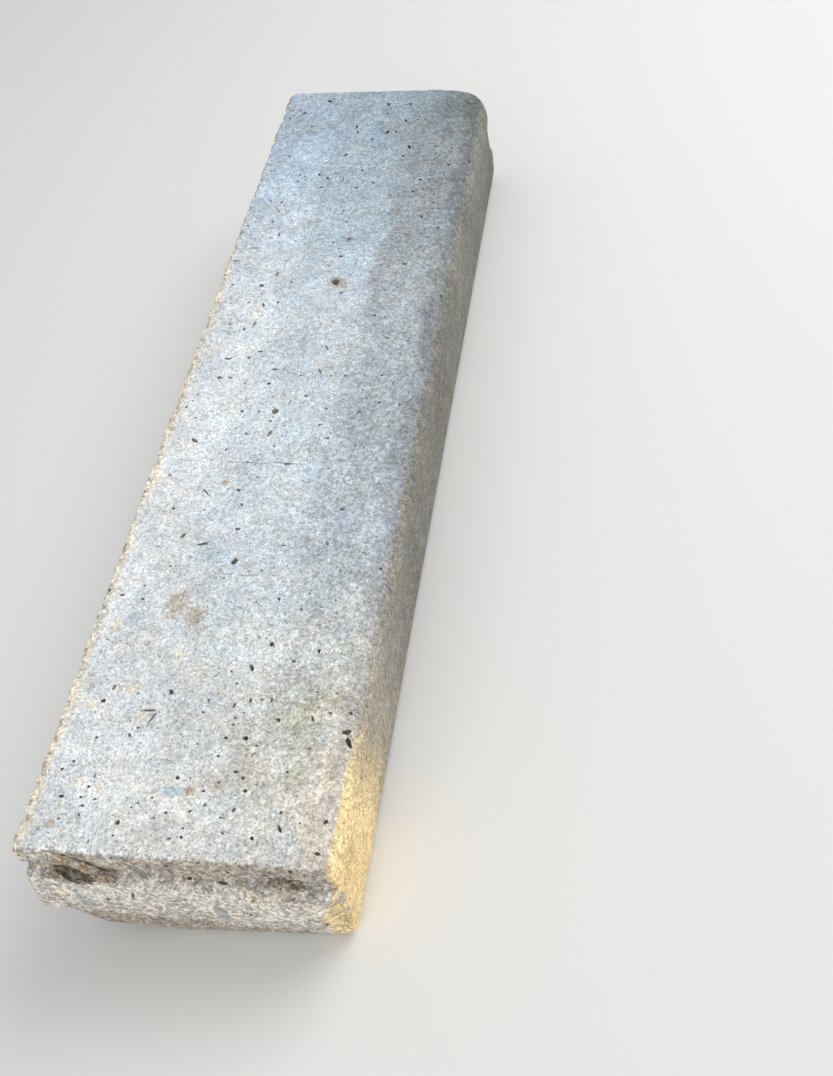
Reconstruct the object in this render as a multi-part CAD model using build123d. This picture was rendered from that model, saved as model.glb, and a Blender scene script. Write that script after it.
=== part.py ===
from build123d import *
import math
import os

# Concrete kerb stone, cast in one piece, with a tongue on one end and a groove on the other.
# It is drawn in its section: X from the foot to the head, Z from the road face to the back face,
# Y along the length. At the end it is turned to lie on its sloping road face.

# Length and section
body_length = 1000.0
stone_height = 250.0
foot_thickness = 150.0
head_thickness = 120.0
batter_height = 150.0

# Long arrises of the section, and the arris round each end
head_back_round = 20.0
head_road_round = 18.0
ridge_round = 12.0
foot_ease = 5.0
end_ease = 4.0

# Tongue on the near end, a drafted rib that runs across from the foot to the head
tongue_height = 13.0
tongue_root = 48.0
tongue_crest = 40.0
tongue_crest_round = 6.0
tongue_root_round = 4.0
tongue_centre_below_back = 52.0
tongue_inset = 5.0
tongue_head_end_round = 8.0
tongue_foot_end_round = 5.0

# Groove in the far end, open at the foot and at the head, which takes the next stone's tongue
joint_clearance = 2.0
joint_gap = 2.0
groove_floor_round = 6.0

# Working allowances: how far the tongue is bedded in the body, how far a cutter runs past it,
# and how near a face or an edge has to be to an end plane to lie in it
bed_depth = 25.0
overrun = 20.0
in_plane = 0.01

# Places that follow from the sizes above
batter_rise = foot_thickness - head_thickness
batter_angle = math.degrees(math.atan2(batter_rise, batter_height))
ridge_from_foot = stone_height - batter_height
near_end = -body_length / 2
far_end = body_length / 2
joint_level = foot_thickness - tongue_centre_below_back


def kerb_section():
    """Section across the stone: upright foot part, sloping road face, flat back face."""
    foot_road = (0, 0)
    ridge = (ridge_from_foot, 0)
    head_road = (stone_height, batter_rise)
    head_back = (stone_height, foot_thickness)
    foot_back = (0, foot_thickness)
    face = make_face(Polyline(foot_road, ridge, head_road, head_back, foot_back, close=True))
    face = fillet(nearest_corner(face, head_back), head_back_round)
    face = fillet(nearest_corner(face, head_road), head_road_round)
    face = fillet(nearest_corner(face, ridge), ridge_round)
    face = fillet(nearest_corner(face, foot_road), foot_ease)
    return fillet(nearest_corner(face, foot_back), foot_ease)


def nearest_corner(face, point):
    """The corner of a flat face that lies nearest to a point of its own plane."""
    target = Vector(*point)
    return min(face.vertices(), key=lambda corner: (Vector(corner.X, corner.Y) - target).length)


def body():
    """The plain prism between the two end planes."""
    end_plane = Plane.XZ.offset(-far_end)
    return extrude(end_plane * kerb_section(), amount=body_length)


def tongue():
    """The rib across the near end: a drafted profile, rounded in plan at both of its ends."""
    bed = near_end + bed_depth
    crest = near_end - tongue_height
    skirt = tongue_root / 2 + 2 * tongue_root_round
    low_side = [
        (bed, joint_level - skirt),
        (near_end, joint_level - skirt),
        (near_end, joint_level - tongue_root / 2),
        (crest, joint_level - tongue_crest / 2),
    ]
    high_side = [(y, 2 * joint_level - z) for y, z in reversed(low_side)]
    profile = make_face(Polyline(*low_side, *high_side, close=True))
    for corner in (low_side[3], high_side[0]):
        profile = fillet(nearest_corner(profile, corner), tongue_crest_round)
    for corner in (low_side[2], high_side[1]):
        profile = fillet(nearest_corner(profile, corner), tongue_root_round)
    rib = extrude(Plane.YZ * profile, amount=stone_height)

    foot_side = tongue_inset
    head_side = stone_height - tongue_inset
    plan = make_face(Polyline(
        (foot_side, bed), (foot_side, crest), (head_side, crest), (head_side, bed), close=True
    ))
    plan = fillet(nearest_corner(plan, (foot_side, crest)), tongue_foot_end_round)
    plan = fillet(nearest_corner(plan, (head_side, crest)), tongue_head_end_round)
    return rib & extrude(plan, amount=foot_thickness)


def groove():
    """The cutter for the far end: the tongue's profile with clearance all round."""
    floor = far_end - tongue_height - joint_gap
    half_mouth = tongue_root / 2 + joint_clearance
    half_floor = tongue_crest / 2 + joint_clearance
    low_side = [
        (far_end + overrun, joint_level - half_mouth),
        (far_end, joint_level - half_mouth),
        (floor, joint_level - half_floor),
    ]
    high_side = [(y, 2 * joint_level - z) for y, z in reversed(low_side)]
    profile = make_face(Polyline(*low_side, *high_side, close=True))
    for corner in (low_side[2], high_side[0]):
        profile = fillet(nearest_corner(profile, corner), groove_floor_round)
    start = Plane.YZ.offset(-overrun)
    return extrude(start * profile, amount=stone_height + 2 * overrun)


def lying_at(shapes, level):
    """Those of the faces or edges that lie in the end plane at this level."""
    return shapes.filter_by_position(Axis.Y, level - in_plane, level + in_plane)


def ease_near_end(stone):
    """Rounds the outline of the near end, and leaves the root of the tongue as it is."""
    end_face = lying_at(stone.faces(), near_end).sort_by(SortBy.AREA)[-1]
    return fillet(end_face.outer_wire().edges(), end_ease)


def ease_far_end(stone):
    """Rounds the outlines of the two lands beside the groove, with the groove's mouth."""
    return fillet(lying_at(stone.edges(), far_end), end_ease)


def lie_on_road_face(stone):
    """Turns the stone about its ridge onto the sloping face, and centres it over the origin."""
    ridge_line = Axis((ridge_from_foot, 0, 0), (0, 1, 0))
    lying = stone.rotate(ridge_line, batter_angle)
    box = lying.bounding_box()
    middle = box.center()
    return lying.translate((-middle.X, -middle.Y, -box.min.Z))


kerb = body() + tongue() - groove()
kerb = ease_far_end(ease_near_end(kerb))
kerb = lie_on_road_face(kerb)
kerb.label = "kerb_stone"

os.makedirs("parts", exist_ok=True)
export_step(kerb, "parts/kerb_stone.step")
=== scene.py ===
import functools
import logging
import math
import random
from dataclasses import dataclass, field
from enum import Enum

import bmesh
import bpy
import numpy as np
from mathutils import Matrix, Quaternion, Vector, noise
from mathutils.bvhtree import BVHTree


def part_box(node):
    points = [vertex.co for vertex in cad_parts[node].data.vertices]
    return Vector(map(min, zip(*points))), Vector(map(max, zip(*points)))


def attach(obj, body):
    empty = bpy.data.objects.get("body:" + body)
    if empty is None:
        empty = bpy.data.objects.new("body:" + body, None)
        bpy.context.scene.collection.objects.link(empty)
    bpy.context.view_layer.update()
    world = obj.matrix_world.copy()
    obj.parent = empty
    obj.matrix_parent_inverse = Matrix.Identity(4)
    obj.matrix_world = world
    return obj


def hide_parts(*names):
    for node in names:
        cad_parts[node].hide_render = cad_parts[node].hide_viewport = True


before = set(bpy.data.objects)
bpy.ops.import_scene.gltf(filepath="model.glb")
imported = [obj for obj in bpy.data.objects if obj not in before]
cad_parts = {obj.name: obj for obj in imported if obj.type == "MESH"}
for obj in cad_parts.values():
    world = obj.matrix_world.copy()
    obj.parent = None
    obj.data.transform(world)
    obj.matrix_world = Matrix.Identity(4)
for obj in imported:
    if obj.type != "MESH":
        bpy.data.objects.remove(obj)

# The stone is shaped in its own section and turned to its resting place at the end. In the section
# X runs from the foot to the head, Y from the tongue's end plane to the groove's end plane,
# and Z from the road face to the back face, which is the one on top. Lengths are in metres.

MM = 0.001
NODE = "kerb_stone"
BODY = "root"

# Directions in the section
UP, NEARWARD, FARWARD, HEADWARD = (
    Vector(way) for way in ((0, 0, 1), (0, -1, 0), (0, 1, 0), (1, 0, 0))
)

log = logging.getLogger(NODE)


class Stain(Enum):
    """The marks that are painted on the stone, each the name of a mesh attribute; grime also holds
    painted shade, and sandy a painted highlight.
    """

    RUST = "rust"
    BROWN = "brown"
    CREAM = "cream"
    COOL = "cool"
    GREEN = "green"
    GRIME_AND_SHADE = "grime"
    SANDY_AND_HIGHLIGHT = "sandy"


class Finish(Enum):
    """The material slots of the stone's mesh, by their index."""

    CAST = 0
    VOID = 1
    BROKEN = 2
    PEBBLE = 3


@dataclass(frozen=True)
class TongueSizes:
    """The tongue across the near end, and the groove that takes one like it, in metres."""

    height: float = 0.013
    root: float = 0.048
    crest: float = 0.040
    crest_round: float = 0.006
    below_back: float = 0.052
    inset: float = 0.005
    head_end_round: float = 0.008
    foot_end_round: float = 0.005
    clearance: float = 0.002
    gap: float = 0.002
    bed: float = 0.025
    overrun: float = 0.020


@dataclass(frozen=True)
class SectionSizes:
    """The stone's section and length, in metres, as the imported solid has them."""

    length: float = 1.000
    height: float = 0.250
    foot_thickness: float = 0.150
    head_thickness: float = 0.120
    batter_height: float = 0.150
    head_back_round: float = 0.020
    head_road_round: float = 0.018
    ridge_round: float = 0.012
    foot_ease: float = 0.005
    end_ease: float = 0.004
    tongue: TongueSizes = TongueSizes()

    @property
    def tongue_level(self) -> float:
        """The height of the tongue's middle line in the section."""
        return self.foot_thickness - self.tongue.below_back

    @property
    def batter_rise(self) -> float:
        """How far the road face leans in from the ridge to the head."""
        return self.foot_thickness - self.head_thickness

    @property
    def batter_angle(self) -> float:
        """The lean of the sloping road face, in radians."""
        return math.atan2(self.batter_rise, self.batter_height)

    @property
    def ridge(self) -> float:
        """The distance from the foot at which the road face begins to lean."""
        return self.height - self.batter_height


@dataclass(frozen=True)
class Hole:
    """An air hole in a face: place, length and width in millimetres, and turn in degrees."""

    across: float
    along: float
    length: float
    width: float
    turn: float = 0.0


@dataclass(frozen=True)
class Patch:
    """A stained patch on the back face, in millimetres and degrees, with a strength from 0 to 1."""

    stain: Stain
    across: float
    along: float
    length: float
    width: float
    turn: float = 0.0
    strength: float = 1.0


@dataclass(frozen=True)
class Smear:
    """A stained place anywhere: its centre and its half sizes, in millimetres, and its strength."""

    stain: Stain
    u: float
    y: float
    v: float
    half_u: float
    half_y: float
    half_v: float
    strength: float = 1.0


@dataclass(frozen=True)
class Form:
    """What a small blob is like.

    It has the finish that its surface leaves, how far the surface moves in and out as a share of
    its size, how many lumps it has across, and how fine its mesh is.
    """

    finish: Finish
    roughness: float
    lumps: float = 1.4
    fineness: int = 2


AIR_HOLE = Form(Finish.VOID, 0.60, 1.9)
CHIP = Form(Finish.BROKEN, 0.55, fineness=3)
NICK = Form(Finish.BROKEN, 0.45)
LUMP = Form(Finish.BROKEN, 0.55, 2.4, 3)
HOLLOW = Form(Finish.BROKEN, 0.45, 2.6, 3)
RIDGE = Form(Finish.BROKEN, 0.85, 3.4, 3)
PEBBLE = Form(Finish.PEBBLE, 0.25)
OVAL_MARK = Form(Finish.PEBBLE, 0.06, fineness=3)


@dataclass(frozen=True)
class Streak:
    """A long ragged blob between two places: its ends and half sizes in millimetres."""

    form: Form
    start: tuple[float, float, float]
    stop: tuple[float, float, float]
    half_width: float
    half_depth: float


def holes(*rows: tuple[float, ...]) -> tuple[Hole, ...]:
    """Makes a hole of each row of numbers, in the order of the fields of Hole."""
    return tuple(Hole(*row) for row in rows)


def patches(stain: Stain, *rows: tuple[float, ...]) -> tuple[Patch, ...]:
    """Makes a patch of one stain of each row of numbers, in the order of the fields of Patch."""
    return tuple(Patch(stain, *row) for row in rows)


def smears(stain: Stain, *rows: tuple[float, ...]) -> tuple[Smear, ...]:
    """Makes a smear of one stain of each row of numbers, in the order of the fields of Smear."""
    return tuple(Smear(stain, *row) for row in rows)


# Air holes that show on the back face, from the tongue's end to the groove's end
NEAR_QUARTER = holes(
    (19, 229, 6, 3), (38, 226, 4, 3), (36, 240, 2.5, 2), (40, 138, 6, 3, 80), (89, 137, 6, 4, -45),
    (150, 164, 8, 4, -65), (183, 173, 4, 3), (161, 188, 5, 4, 90), (156, 134, 5, 3, 90),
    (165, 136, 3, 2), (173, 136, 5, 2.5, 90), (141, 149, 3, 2.5), (208, 146, 3, 2.5),
    (224, 146, 3, 2), (222, 128, 3.5, 2.5), (209, 122, 6, 3, -60), (182, 119, 4.5, 3.5, -30),
    (153, 123, 2, 2), (144, 129, 6, 2.5, 80), (147, 118, 2.5, 2), (147, 112, 3, 2),
    (120, 121, 3, 2.5), (118, 117, 2.5, 2), (238, 130, 3.5, 3), (71, 103, 3, 2.5),
    (66, 96, 5, 2, -60), (40, 92, 3, 2.5), (144, 100, 3.5, 3), (160, 101, 5, 4.5),
    (170, 95, 3, 2.5), (212, 96, 3, 2), (169, 87, 7, 1.8, 60), (142, 84, 3, 2.5),
    (159, 72, 4.5, 3, -10), (166, 67, 4, 3, 90), (199, 75, 3, 2.5), (28, 70, 3, 2.5),
    (115, 63, 4, 3.5), (148, 62, 2.5, 2), (170, 57, 4, 3.5), (138, 54, 3.5, 2),
    (142, 43, 3.5, 2.5, 80), (165, 41, 4, 3, 60), (201, 42, 2.5, 2.5), (100, 45, 3, 2),
    (90, 40, 2.5, 2), (86, 36, 2, 2), (114, 34, 3.5, 2.5), (132, 37, 3, 2.5), (106, 29, 2.5, 2),
    (47, 50, 3.5, 2.5), (28, 40, 5, 3.5), (47, 34, 3.5, 2.5), (32, 22, 3, 2), (79, 23, 5, 4, 90),
    (130, 23, 2.5, 2), (131, 16, 4, 2.5, -60), (122, 14, 4, 2, 15), (161, 22, 2.5, 2),
    (184, 20, 4, 3, -50), (203, 29, 8, 3, -60), (211, 26, 9, 3, -60), (217, 35, 2, 2),
    (236, 38, 5, 3.5, 60), (235, 13, 4.5, 3.5), (61, 6, 2.5, 2), (35, 125, 5, 4, 20),
    (32, 120, 3, 2),
)
SECOND_QUARTER = holes(
    (38, 495, 6, 5), (49, 495, 6, 3), (31, 482, 12, 2.5, -25), (66, 488, 2.5, 2.5),
    (90, 488, 4.5, 4), (131, 472, 4.5, 3, -30), (213, 492, 2.5, 2), (185, 482, 3, 2.5),
    (240, 458, 4.5, 4), (224, 463, 3, 3), (186, 452, 7, 3, 65), (154, 456, 4, 3), (105, 451, 8, 7),
    (117, 463, 9, 2, 80), (72, 450, 4, 4), (89, 450, 3, 3), (15, 454, 5, 3, 70), (19, 463, 2.5, 2),
    (22, 471, 3, 2, -60), (28, 440, 3, 2.5), (103, 438, 3.5, 3), (106, 422, 9, 4, 75),
    (83, 421, 3.5, 3), (72, 427, 2.5, 2), (77, 433, 2, 2), (35, 410, 9, 4, -30),
    (119, 419, 2.5, 2), (114, 406, 3, 2.5), (163, 418, 4, 3), (148, 403, 3, 2), (191, 410, 3, 2),
    (69, 400, 3, 2.5), (103, 395, 2.5, 2), (107, 396, 2, 2), (131, 384, 7, 2.5), (93, 385, 4, 2),
    (23, 366, 3.5, 2.5), (93, 351, 5, 4, 20), (63, 347, 12, 2, -45), (100, 334, 4, 3, 90),
    (107, 367, 3, 2), (165, 370, 4, 2, 60), (193, 333, 5, 4), (187, 294, 6, 2.5, -60),
    (55, 296, 7, 4, 65), (35, 283, 3, 2), (76, 288, 12, 3, 15), (103, 306, 5, 4), (149, 290, 5, 2),
    (238, 271, 3.5, 3), (68, 273, 2.5, 2), (109, 270, 8, 5, 60), (53, 262, 3, 2), (104, 252, 3, 2),
)
THIRD_QUARTER = holes(
    (9, 735, 4, 3), (7, 727, 5, 4), (17, 741, 3, 3), (38, 731, 2.5, 2), (49, 719, 9, 3, 85),
    (40, 714, 3.5, 2), (29, 710, 2.5, 2), (63, 728, 2.5, 2), (26, 696, 12, 2.5, -3),
    (82, 703, 3, 2.5), (113, 705, 4.5, 3, 10), (121, 740, 3, 2), (147, 708, 3, 2),
    (167, 700, 5, 2.5, -70), (203, 749, 7, 3, -60), (224, 729, 6, 3, -65), (210, 725, 5, 2, 85),
    (197, 669, 5, 4.5), (121, 694, 4, 2.5), (137, 693, 3, 2), (126, 682, 5, 4),
    (128, 640, 11, 8, -50), (134, 645, 4, 3, 20), (129, 711, 6, 5, 40), (144, 670, 3, 2.5, -60),
    (116, 666, 2.5, 2.5), (11, 674, 8, 3), (67, 674, 3, 2.5), (62, 652, 7, 4, 70),
    (105, 647, 3, 2), (115, 639, 5, 2.5, -60), (80, 639, 5, 2.5, -70), (49, 634, 6, 5),
    (17, 635, 4.5, 3, 30), (18, 626, 8, 3, -75), (52, 621, 3, 2.5), (58, 603, 7, 3, -70),
    (55, 574, 9, 3, 80), (29, 573, 4.5, 3, 40), (178, 588, 5, 4), (244, 586, 3, 3),
    (242, 623, 5, 3, -20), (112, 552, 3, 2.5), (71, 533, 6, 3.5), (138, 540, 9, 2, -60),
    (40, 522, 8, 3), (61, 524, 6, 2.5, -50), (87, 517, 3, 2.5), (92, 508, 8, 3, -5),
    (138, 506, 10, 2.5, -60), (232, 539, 3, 2), (197, 555, 5, 2, -45), (120, 500, 3, 2.5),
    (200, 502, 3, 2.5),
)
FAR_QUARTER = holes(
    (56, 978, 7, 4, -35), (29, 953, 6, 4, 25), (13, 960, 3.5, 3), (13, 943, 3.5, 3),
    (131, 968, 8, 3, -75), (158, 968, 4.5, 4), (136, 959, 2.5, 2), (152, 959, 3.5, 2.5),
    (133, 949, 3.5, 3), (158, 932, 9, 3, -70), (172, 934, 5, 2, -65), (100, 922, 8, 2.5, -85),
    (103, 911, 5, 3, -70), (44, 926, 4.5, 3), (47, 914, 9, 7), (139, 910, 8, 4, 70),
    (149, 911, 4.5, 3, -60), (123, 896, 4.5, 3.5, -40), (170, 879, 8, 4, -75), (201, 880, 4, 3),
    (97, 866, 5, 4), (203, 866, 3, 2), (203, 855, 3, 2.5), (243, 855, 5, 3, 60), (73, 828, 4.5, 4),
    (50, 828, 4, 2, -70), (56, 825, 3, 2), (84, 821, 6, 3, -50), (92, 830, 3, 2),
    (122, 835, 4, 3.5), (139, 811, 4.5, 3, -60), (192, 816, 4.5, 4), (202, 817, 3, 2.5),
    (216, 830, 3, 2), (187, 794, 5, 2.5, -60), (162, 788, 4, 3), (211, 789, 3, 2.5),
    (80, 804, 4, 3), (121, 803, 4, 2.5), (26, 779, 3, 2.5), (44, 771, 3, 2, -50),
    (40, 760, 3, 2.5), (114, 761, 6, 2, 80), (169, 762, 3, 2.5), (184, 759, 3, 2),
    (113, 754, 3, 2),
)
BACK_FACE_HOLES = NEAR_QUARTER + SECOND_QUARTER + THIRD_QUARTER + FAR_QUARTER

# Marks that run into one another, which are cut one set after the other
FIRST_MARKS = holes((75, 119, 13, 2.2, 8), (238, 113, 8, 5, 30))
SECOND_MARKS = holes((80, 112.5, 13, 2.2, 68), (241, 105, 10, 5, -55))

# Air holes on the near end and the tongue: u, y and v, length, width and turn
END_HOLES = (
    (161, -4, 121, 10, 3, 0), (135, -3, 121.5, 5, 3, 0), (101, -1, 122, 3, 2.5, 0),
    (152, -2, 122, 3, 2, 0), (136, 0, 126, 2.5, 2, 0), (123, 0, 132, 2.5, 2, 0),
    (216, 0, 143, 5, 3.5, 90), (64, -13, 116, 5, 3.5, 60), (79, -9, 120, 5, 2.5, 0),
    (55, -13, 111, 4, 3, 70), (44, -12, 114.5, 8, 2.5, 60), (139, -13, 112, 2.5, 2, 0),
    (184, -13, 113, 4, 3, 90), (186, -13, 108, 4, 2.5, 80), (176, -13, 84, 3.5, 3, 0),
    (86, -13, 99, 13, 3.5, 78), (86, -13, 110, 4, 3, 0), (30, -13, 94, 9, 3, 60),
    (36, -13, 104, 10, 2.5, 75), (50, -13, 80, 6, 2.5, 50), (205, -1, 130, 9, 5, 20),
    (196, -1, 134, 5, 4, 0), (213, -1, 127, 5, 3, 30), (112, 0, 58, 3, 2.5, 0),
    (70, 0, 50, 4, 3, 20), (150, 0, 48, 3, 2.5, 0),
)

# Chips: the centre and the half sizes, u, y and v
CHIPS = (
    (8, -4, 121, 8, 5, 4), (44, -15, 115, 4, 3.5, 2.4), (-2, 549, 152, 7, 6, 6),
    (-1, 342, 152, 7, 5, 5), (-1, 690, 152, 6, 6, 5), (-2, 212, 152, 8, 8, 6),
    (-2, 240, 152, 8, 6, 6), (252, 4, 151, 8, 5, 7), (212, -10, 118.5, 7, 3, 3),
    (4, 1001, 151, 9, 6, 5), (168, 1001, 152, 11, 4, 5),
)

# Nicked arrises: how many nicks, the arris's two ends, the way out of the stone, the deepest bite
NICKED_ARRISES = (
    (26, (8, -5, 150), (235, 0.5, 150), (0, -0.7, 0.7), 2.6),
    (22, (8, 1000, 150), (235, 1000, 150), (0, 0.7, 0.7), 4.0),
    (80, (3, 20, 148), (3, 980, 148), (-0.7, 0, 0.7), 4.2),
    (14, (10, -12.5, 117), (240, -12.5, 117), (0, -0.7, 0.7), 2.6),
    (14, (10, -12.5, 79), (240, -12.5, 79), (0, -0.7, -0.7), 3.0),
    (12, (4, 1, 1), (100, 1, 1), (0, -0.7, -0.7), 3.0),
    (12, (110, 1, 3), (240, 1, 29), (0, -0.7, -0.7), 3.0),
    (10, (249, 0.5, 50), (249, 0.5, 130), (0.7, -0.7, 0), 4.0),
    (10, (249, 1000, 50), (249, 1000, 130), (0.7, 0.7, 0), 4.0),
    (10, (1, 1, 10), (1, 1, 140), (-0.7, -0.7, 0), 3.0),
    (18, (10, 1000, 125), (240, 1000, 125), (0, 0.7, -0.7), 3.5),
    (18, (10, 1000, 71), (240, 1000, 71), (0, 0.7, 0.7), 3.5),
)

# Fields of scattered holes: how many are tried, a corner, the two sides, the way out of the stone
POCKED_FIELDS = (
    (110, (12, 12, 150), (210, 0, 0), (0, 970, 0), UP),
    (60, (250, 12, 60), (0, 970, 0), (0, 0, 65), HEADWARD),
    (22, (12, -12.5, 84), (225, 0, 0), (0, 0, 28), NEARWARD),
    (20, (12, 0.5, 126), (225, 0, 0), (0, 0, 18), NEARWARD),
    (26, (12, 0.5, 34), (225, 0, 0), (0, 0, 34), NEARWARD),
    (30, (12, 1000, 34), (225, 0, 0), (0, 0, 34), FARWARD),
)

# Small stones that stand out: u, y and v of each, and its size
BACK_FACE_PEBBLES = (
    (19, 12, 149.6, 6), (158, 101, 149.7, 4), (9, 425, 149.0, 5), (140, 631, 149.6, 8),
    (127, 53, 149.8, 7), (78, 360, 149.7, 5), (28, 10, 149.6, 5),
)
END_PEBBLES = (
    (120, 0.4, 55, 8), (41, -12.8, 74, 13), (60, 0.6, 40, 9), (200, 0.6, 52, 7),
    (170, 0.4, 137, 6), (96, -12.3, 104, 5), (118, -12.4, 90, 6), (208, -12.2, 96, 6),
    (180, -12.2, 88, 5), (70, -12.2, 86, 6), (20, -12.0, 104, 7),
)

# The ragged hollow above the tongue, the one cut into its ridge, and the crumbly ridges, of which
# the linking ones run into the others
ROOT_HOLLOW = Streak(HOLLOW, (25, -1, 123.5), (60, -11, 116), 7.5, 8.5)
RIDGE_HOLLOW = Streak(HOLLOW, (28, -5.2, 137), (53, -5.8, 124), 4.8, 3.6)
RIDGES = (
    Streak(RIDGE, (30, -5.8, 147), (50, -6.0, 140), 4.2, 3.36),
    Streak(RIDGE, (62, -8.0, 126.5), (77, -11.8, 120.5), 4.6, 3.68),
)
LINKING_RIDGES = (
    Streak(RIDGE, (46, -6.0, 140.5), (66, -6.6, 125.5), 4.4, 3.52),
    Streak(RIDGE, (203, -2.2, 125.5), (222, -3.0, 122.5), 5.2, 4.16),
)

# Crumbly lumps on the near end: u, y, v and the size of each
LUMPS = ((22, -10.5, 119.5, 13), (201, -2.4, 124.0, 11))

# Places on the near end and the back face that stay clear of hollows: u, y, v and the radius
KEPT_CLEAR = ((152.5, -12.4, 82, 14), (41, -12.8, 74, 9), (128, 53, 150, 6))

# Stained patches on the back face
BACK_FACE_PATCHES = (
    patches(
        Stain.RUST,
        (26, 18, 8, 6, 20), (28, 31, 16, 6, 80, 0.45), (127, 53, 12, 9, -40, 0.75),
        (205, 42, 5, 4), (105, 451, 11, 9, 0, 0.6), (78, 360, 11, 8, 70, 0.7),
        (136, 634, 9, 6, -65, 0.4), (55, 570, 7, 4, 60, 0.7), (125, 574, 4, 4), (169, 762, 5, 5),
    )
    + patches(
        Stain.BROWN,
        (70, 223, 28, 19, 78), (89, 211, 26, 17, 85, 0.95), (131, 638, 19, 15, -40),
        (133, 733, 8, 6, 0, 0.6), (126, 684, 9, 12, 0, 0.6), (114, 546, 20, 15, 80, 0.5),
        (115, 587, 18, 12, 0, 0.35), (72, 566, 14, 14, 0, 0.3), (109, 270, 16, 9, 60, 0.6),
        (69, 260, 9, 8, 0, 0.6), (161, 187, 8, 6), (181, 479, 8, 6, 0, 0.6),
        (171, 297, 8, 8, 0, 0.6), (93, 351, 8, 7, 0, 0.6), (214, 235, 40, 20, 80, 0.25),
        (150, 60, 22, 14, 60, 0.6),
    )
    + patches(
        Stain.GRIME_AND_SHADE,
        (129, 710, 9, 10, 0, 0.9), (129, 641, 15, 14, -40, 1.0),
    )
    + patches(
        Stain.CREAM,
        (23, 197, 14, 8, 85), (26, 121, 14, 9, 20), (71, 114, 13, 7, 80), (88, 173, 11, 8),
        (55, 137, 10, 8), (55, 48, 10, 8, 0, 0.8), (38, 52, 13, 9, 0, 0.6), (34, 496, 9, 7),
        (53, 580, 12, 5, 80), (55, 598, 22, 6, 88), (131, 197, 16, 12, 0, 0.5),
        (106, 165, 30, 20, 0, 0.35), (85, 575, 90, 60, 20, 0.30), (30, 620, 60, 30, 80, 0.30),
        (28, 430, 90, 24, 85, 0.35), (226, 70, 120, 16, 88, 0.42),
    )
    + patches(
        Stain.COOL,
        (112, 52, 28, 9, 0, 1.0), (195, 42, 14, 6, 0, 0.8), (34, 203, 30, 10, 55, 0.8),
        (97, 172, 12, 10, 0, 0.8), (3, 225, 90, 14, 90, 0.8), (110, 215, 110, 60, 30, 0.4),
        (6, 588, 24, 9, 85, 1.0),
    )
    + patches(
        Stain.GREEN,
        (205, 116, 70, 30, 85, 0.9), (206, 74, 34, 18, 75, 0.8), (228, 700, 80, 26, 80, 0.5),
        (45, 914, 16, 14, 0, 0.6), (222, 955, 90, 60, 60, 0.7),
    )
)

# Stained places on the near end
END_SMEARS = (
    smears(
        Stain.RUST,
        (42, -8, 145, 9, 5, 4, 0.8), (56, -9, 135, 8, 5, 7, 0.8), (70, -12, 124, 9, 5, 5, 0.8),
        (23, -13, 121, 8, 5, 5, 0.6),
    )
    + smears(
        Stain.GRIME_AND_SHADE,
        # Grime in the near end's hollows, partly painted shade in them.
        (42, -4, 117, 22, 10, 7, 1.0), (38, -4, 131, 11, 5, 6, 0.9), (215, -3, 124, 14, 7, 6, 0.9),
    )
    + smears(
        Stain.CREAM,
        (26, -13, 92, 8, 6, 10), (186, -13, 110, 9, 8, 12), (12, -4, 122, 16, 5, 3),
        (150, 0, 137, 25, 3, 5, 0.6), (225, 0, 136, 12, 3, 8, 0.6),
    )
    + smears(
        Stain.COOL,
        (38, -13, 93, 8, 6, 15, 0.9), (45, -13, 76, 9, 6, 8, 0.9), (86, -13, 96, 4, 5, 12, 0.9),
        (135, -13, 98, 30, 6, 7, 0.5),
    )
    + smears(
        Stain.BROWN,
        (205, -2, 125, 19, 6, 7, 0.9), (243, 3, 147, 4, 5, 6),
    )
)


@dataclass(frozen=True)
class RestingPlace:
    """Turns the section into the stone's resting place: on its sloping road face, centred."""

    sizes: SectionSizes

    def matrix(self, points: np.ndarray) -> Matrix:
        """The turn and shift that bring a smooth stone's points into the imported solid's box.

        Args:
            points: The smooth stone's vertices in the section, one a row.

        Returns:
            The matrix from the section to the row frame.
        """
        low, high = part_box(NODE)
        turn = Matrix.Rotation(self.sizes.batter_angle, 4, "Y")
        turned = points @ np.array(turn.to_3x3()).T
        middle = (turned.min(0) + turned.max(0)) / 2
        lowest = turned[:, 2].min()
        shift = Vector((
            (low.x + high.x) / 2 - middle[0],
            (low.y + high.y) / 2 - middle[1],
            low.z - lowest,
        ))
        return Matrix.Translation(shift) @ turn


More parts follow.
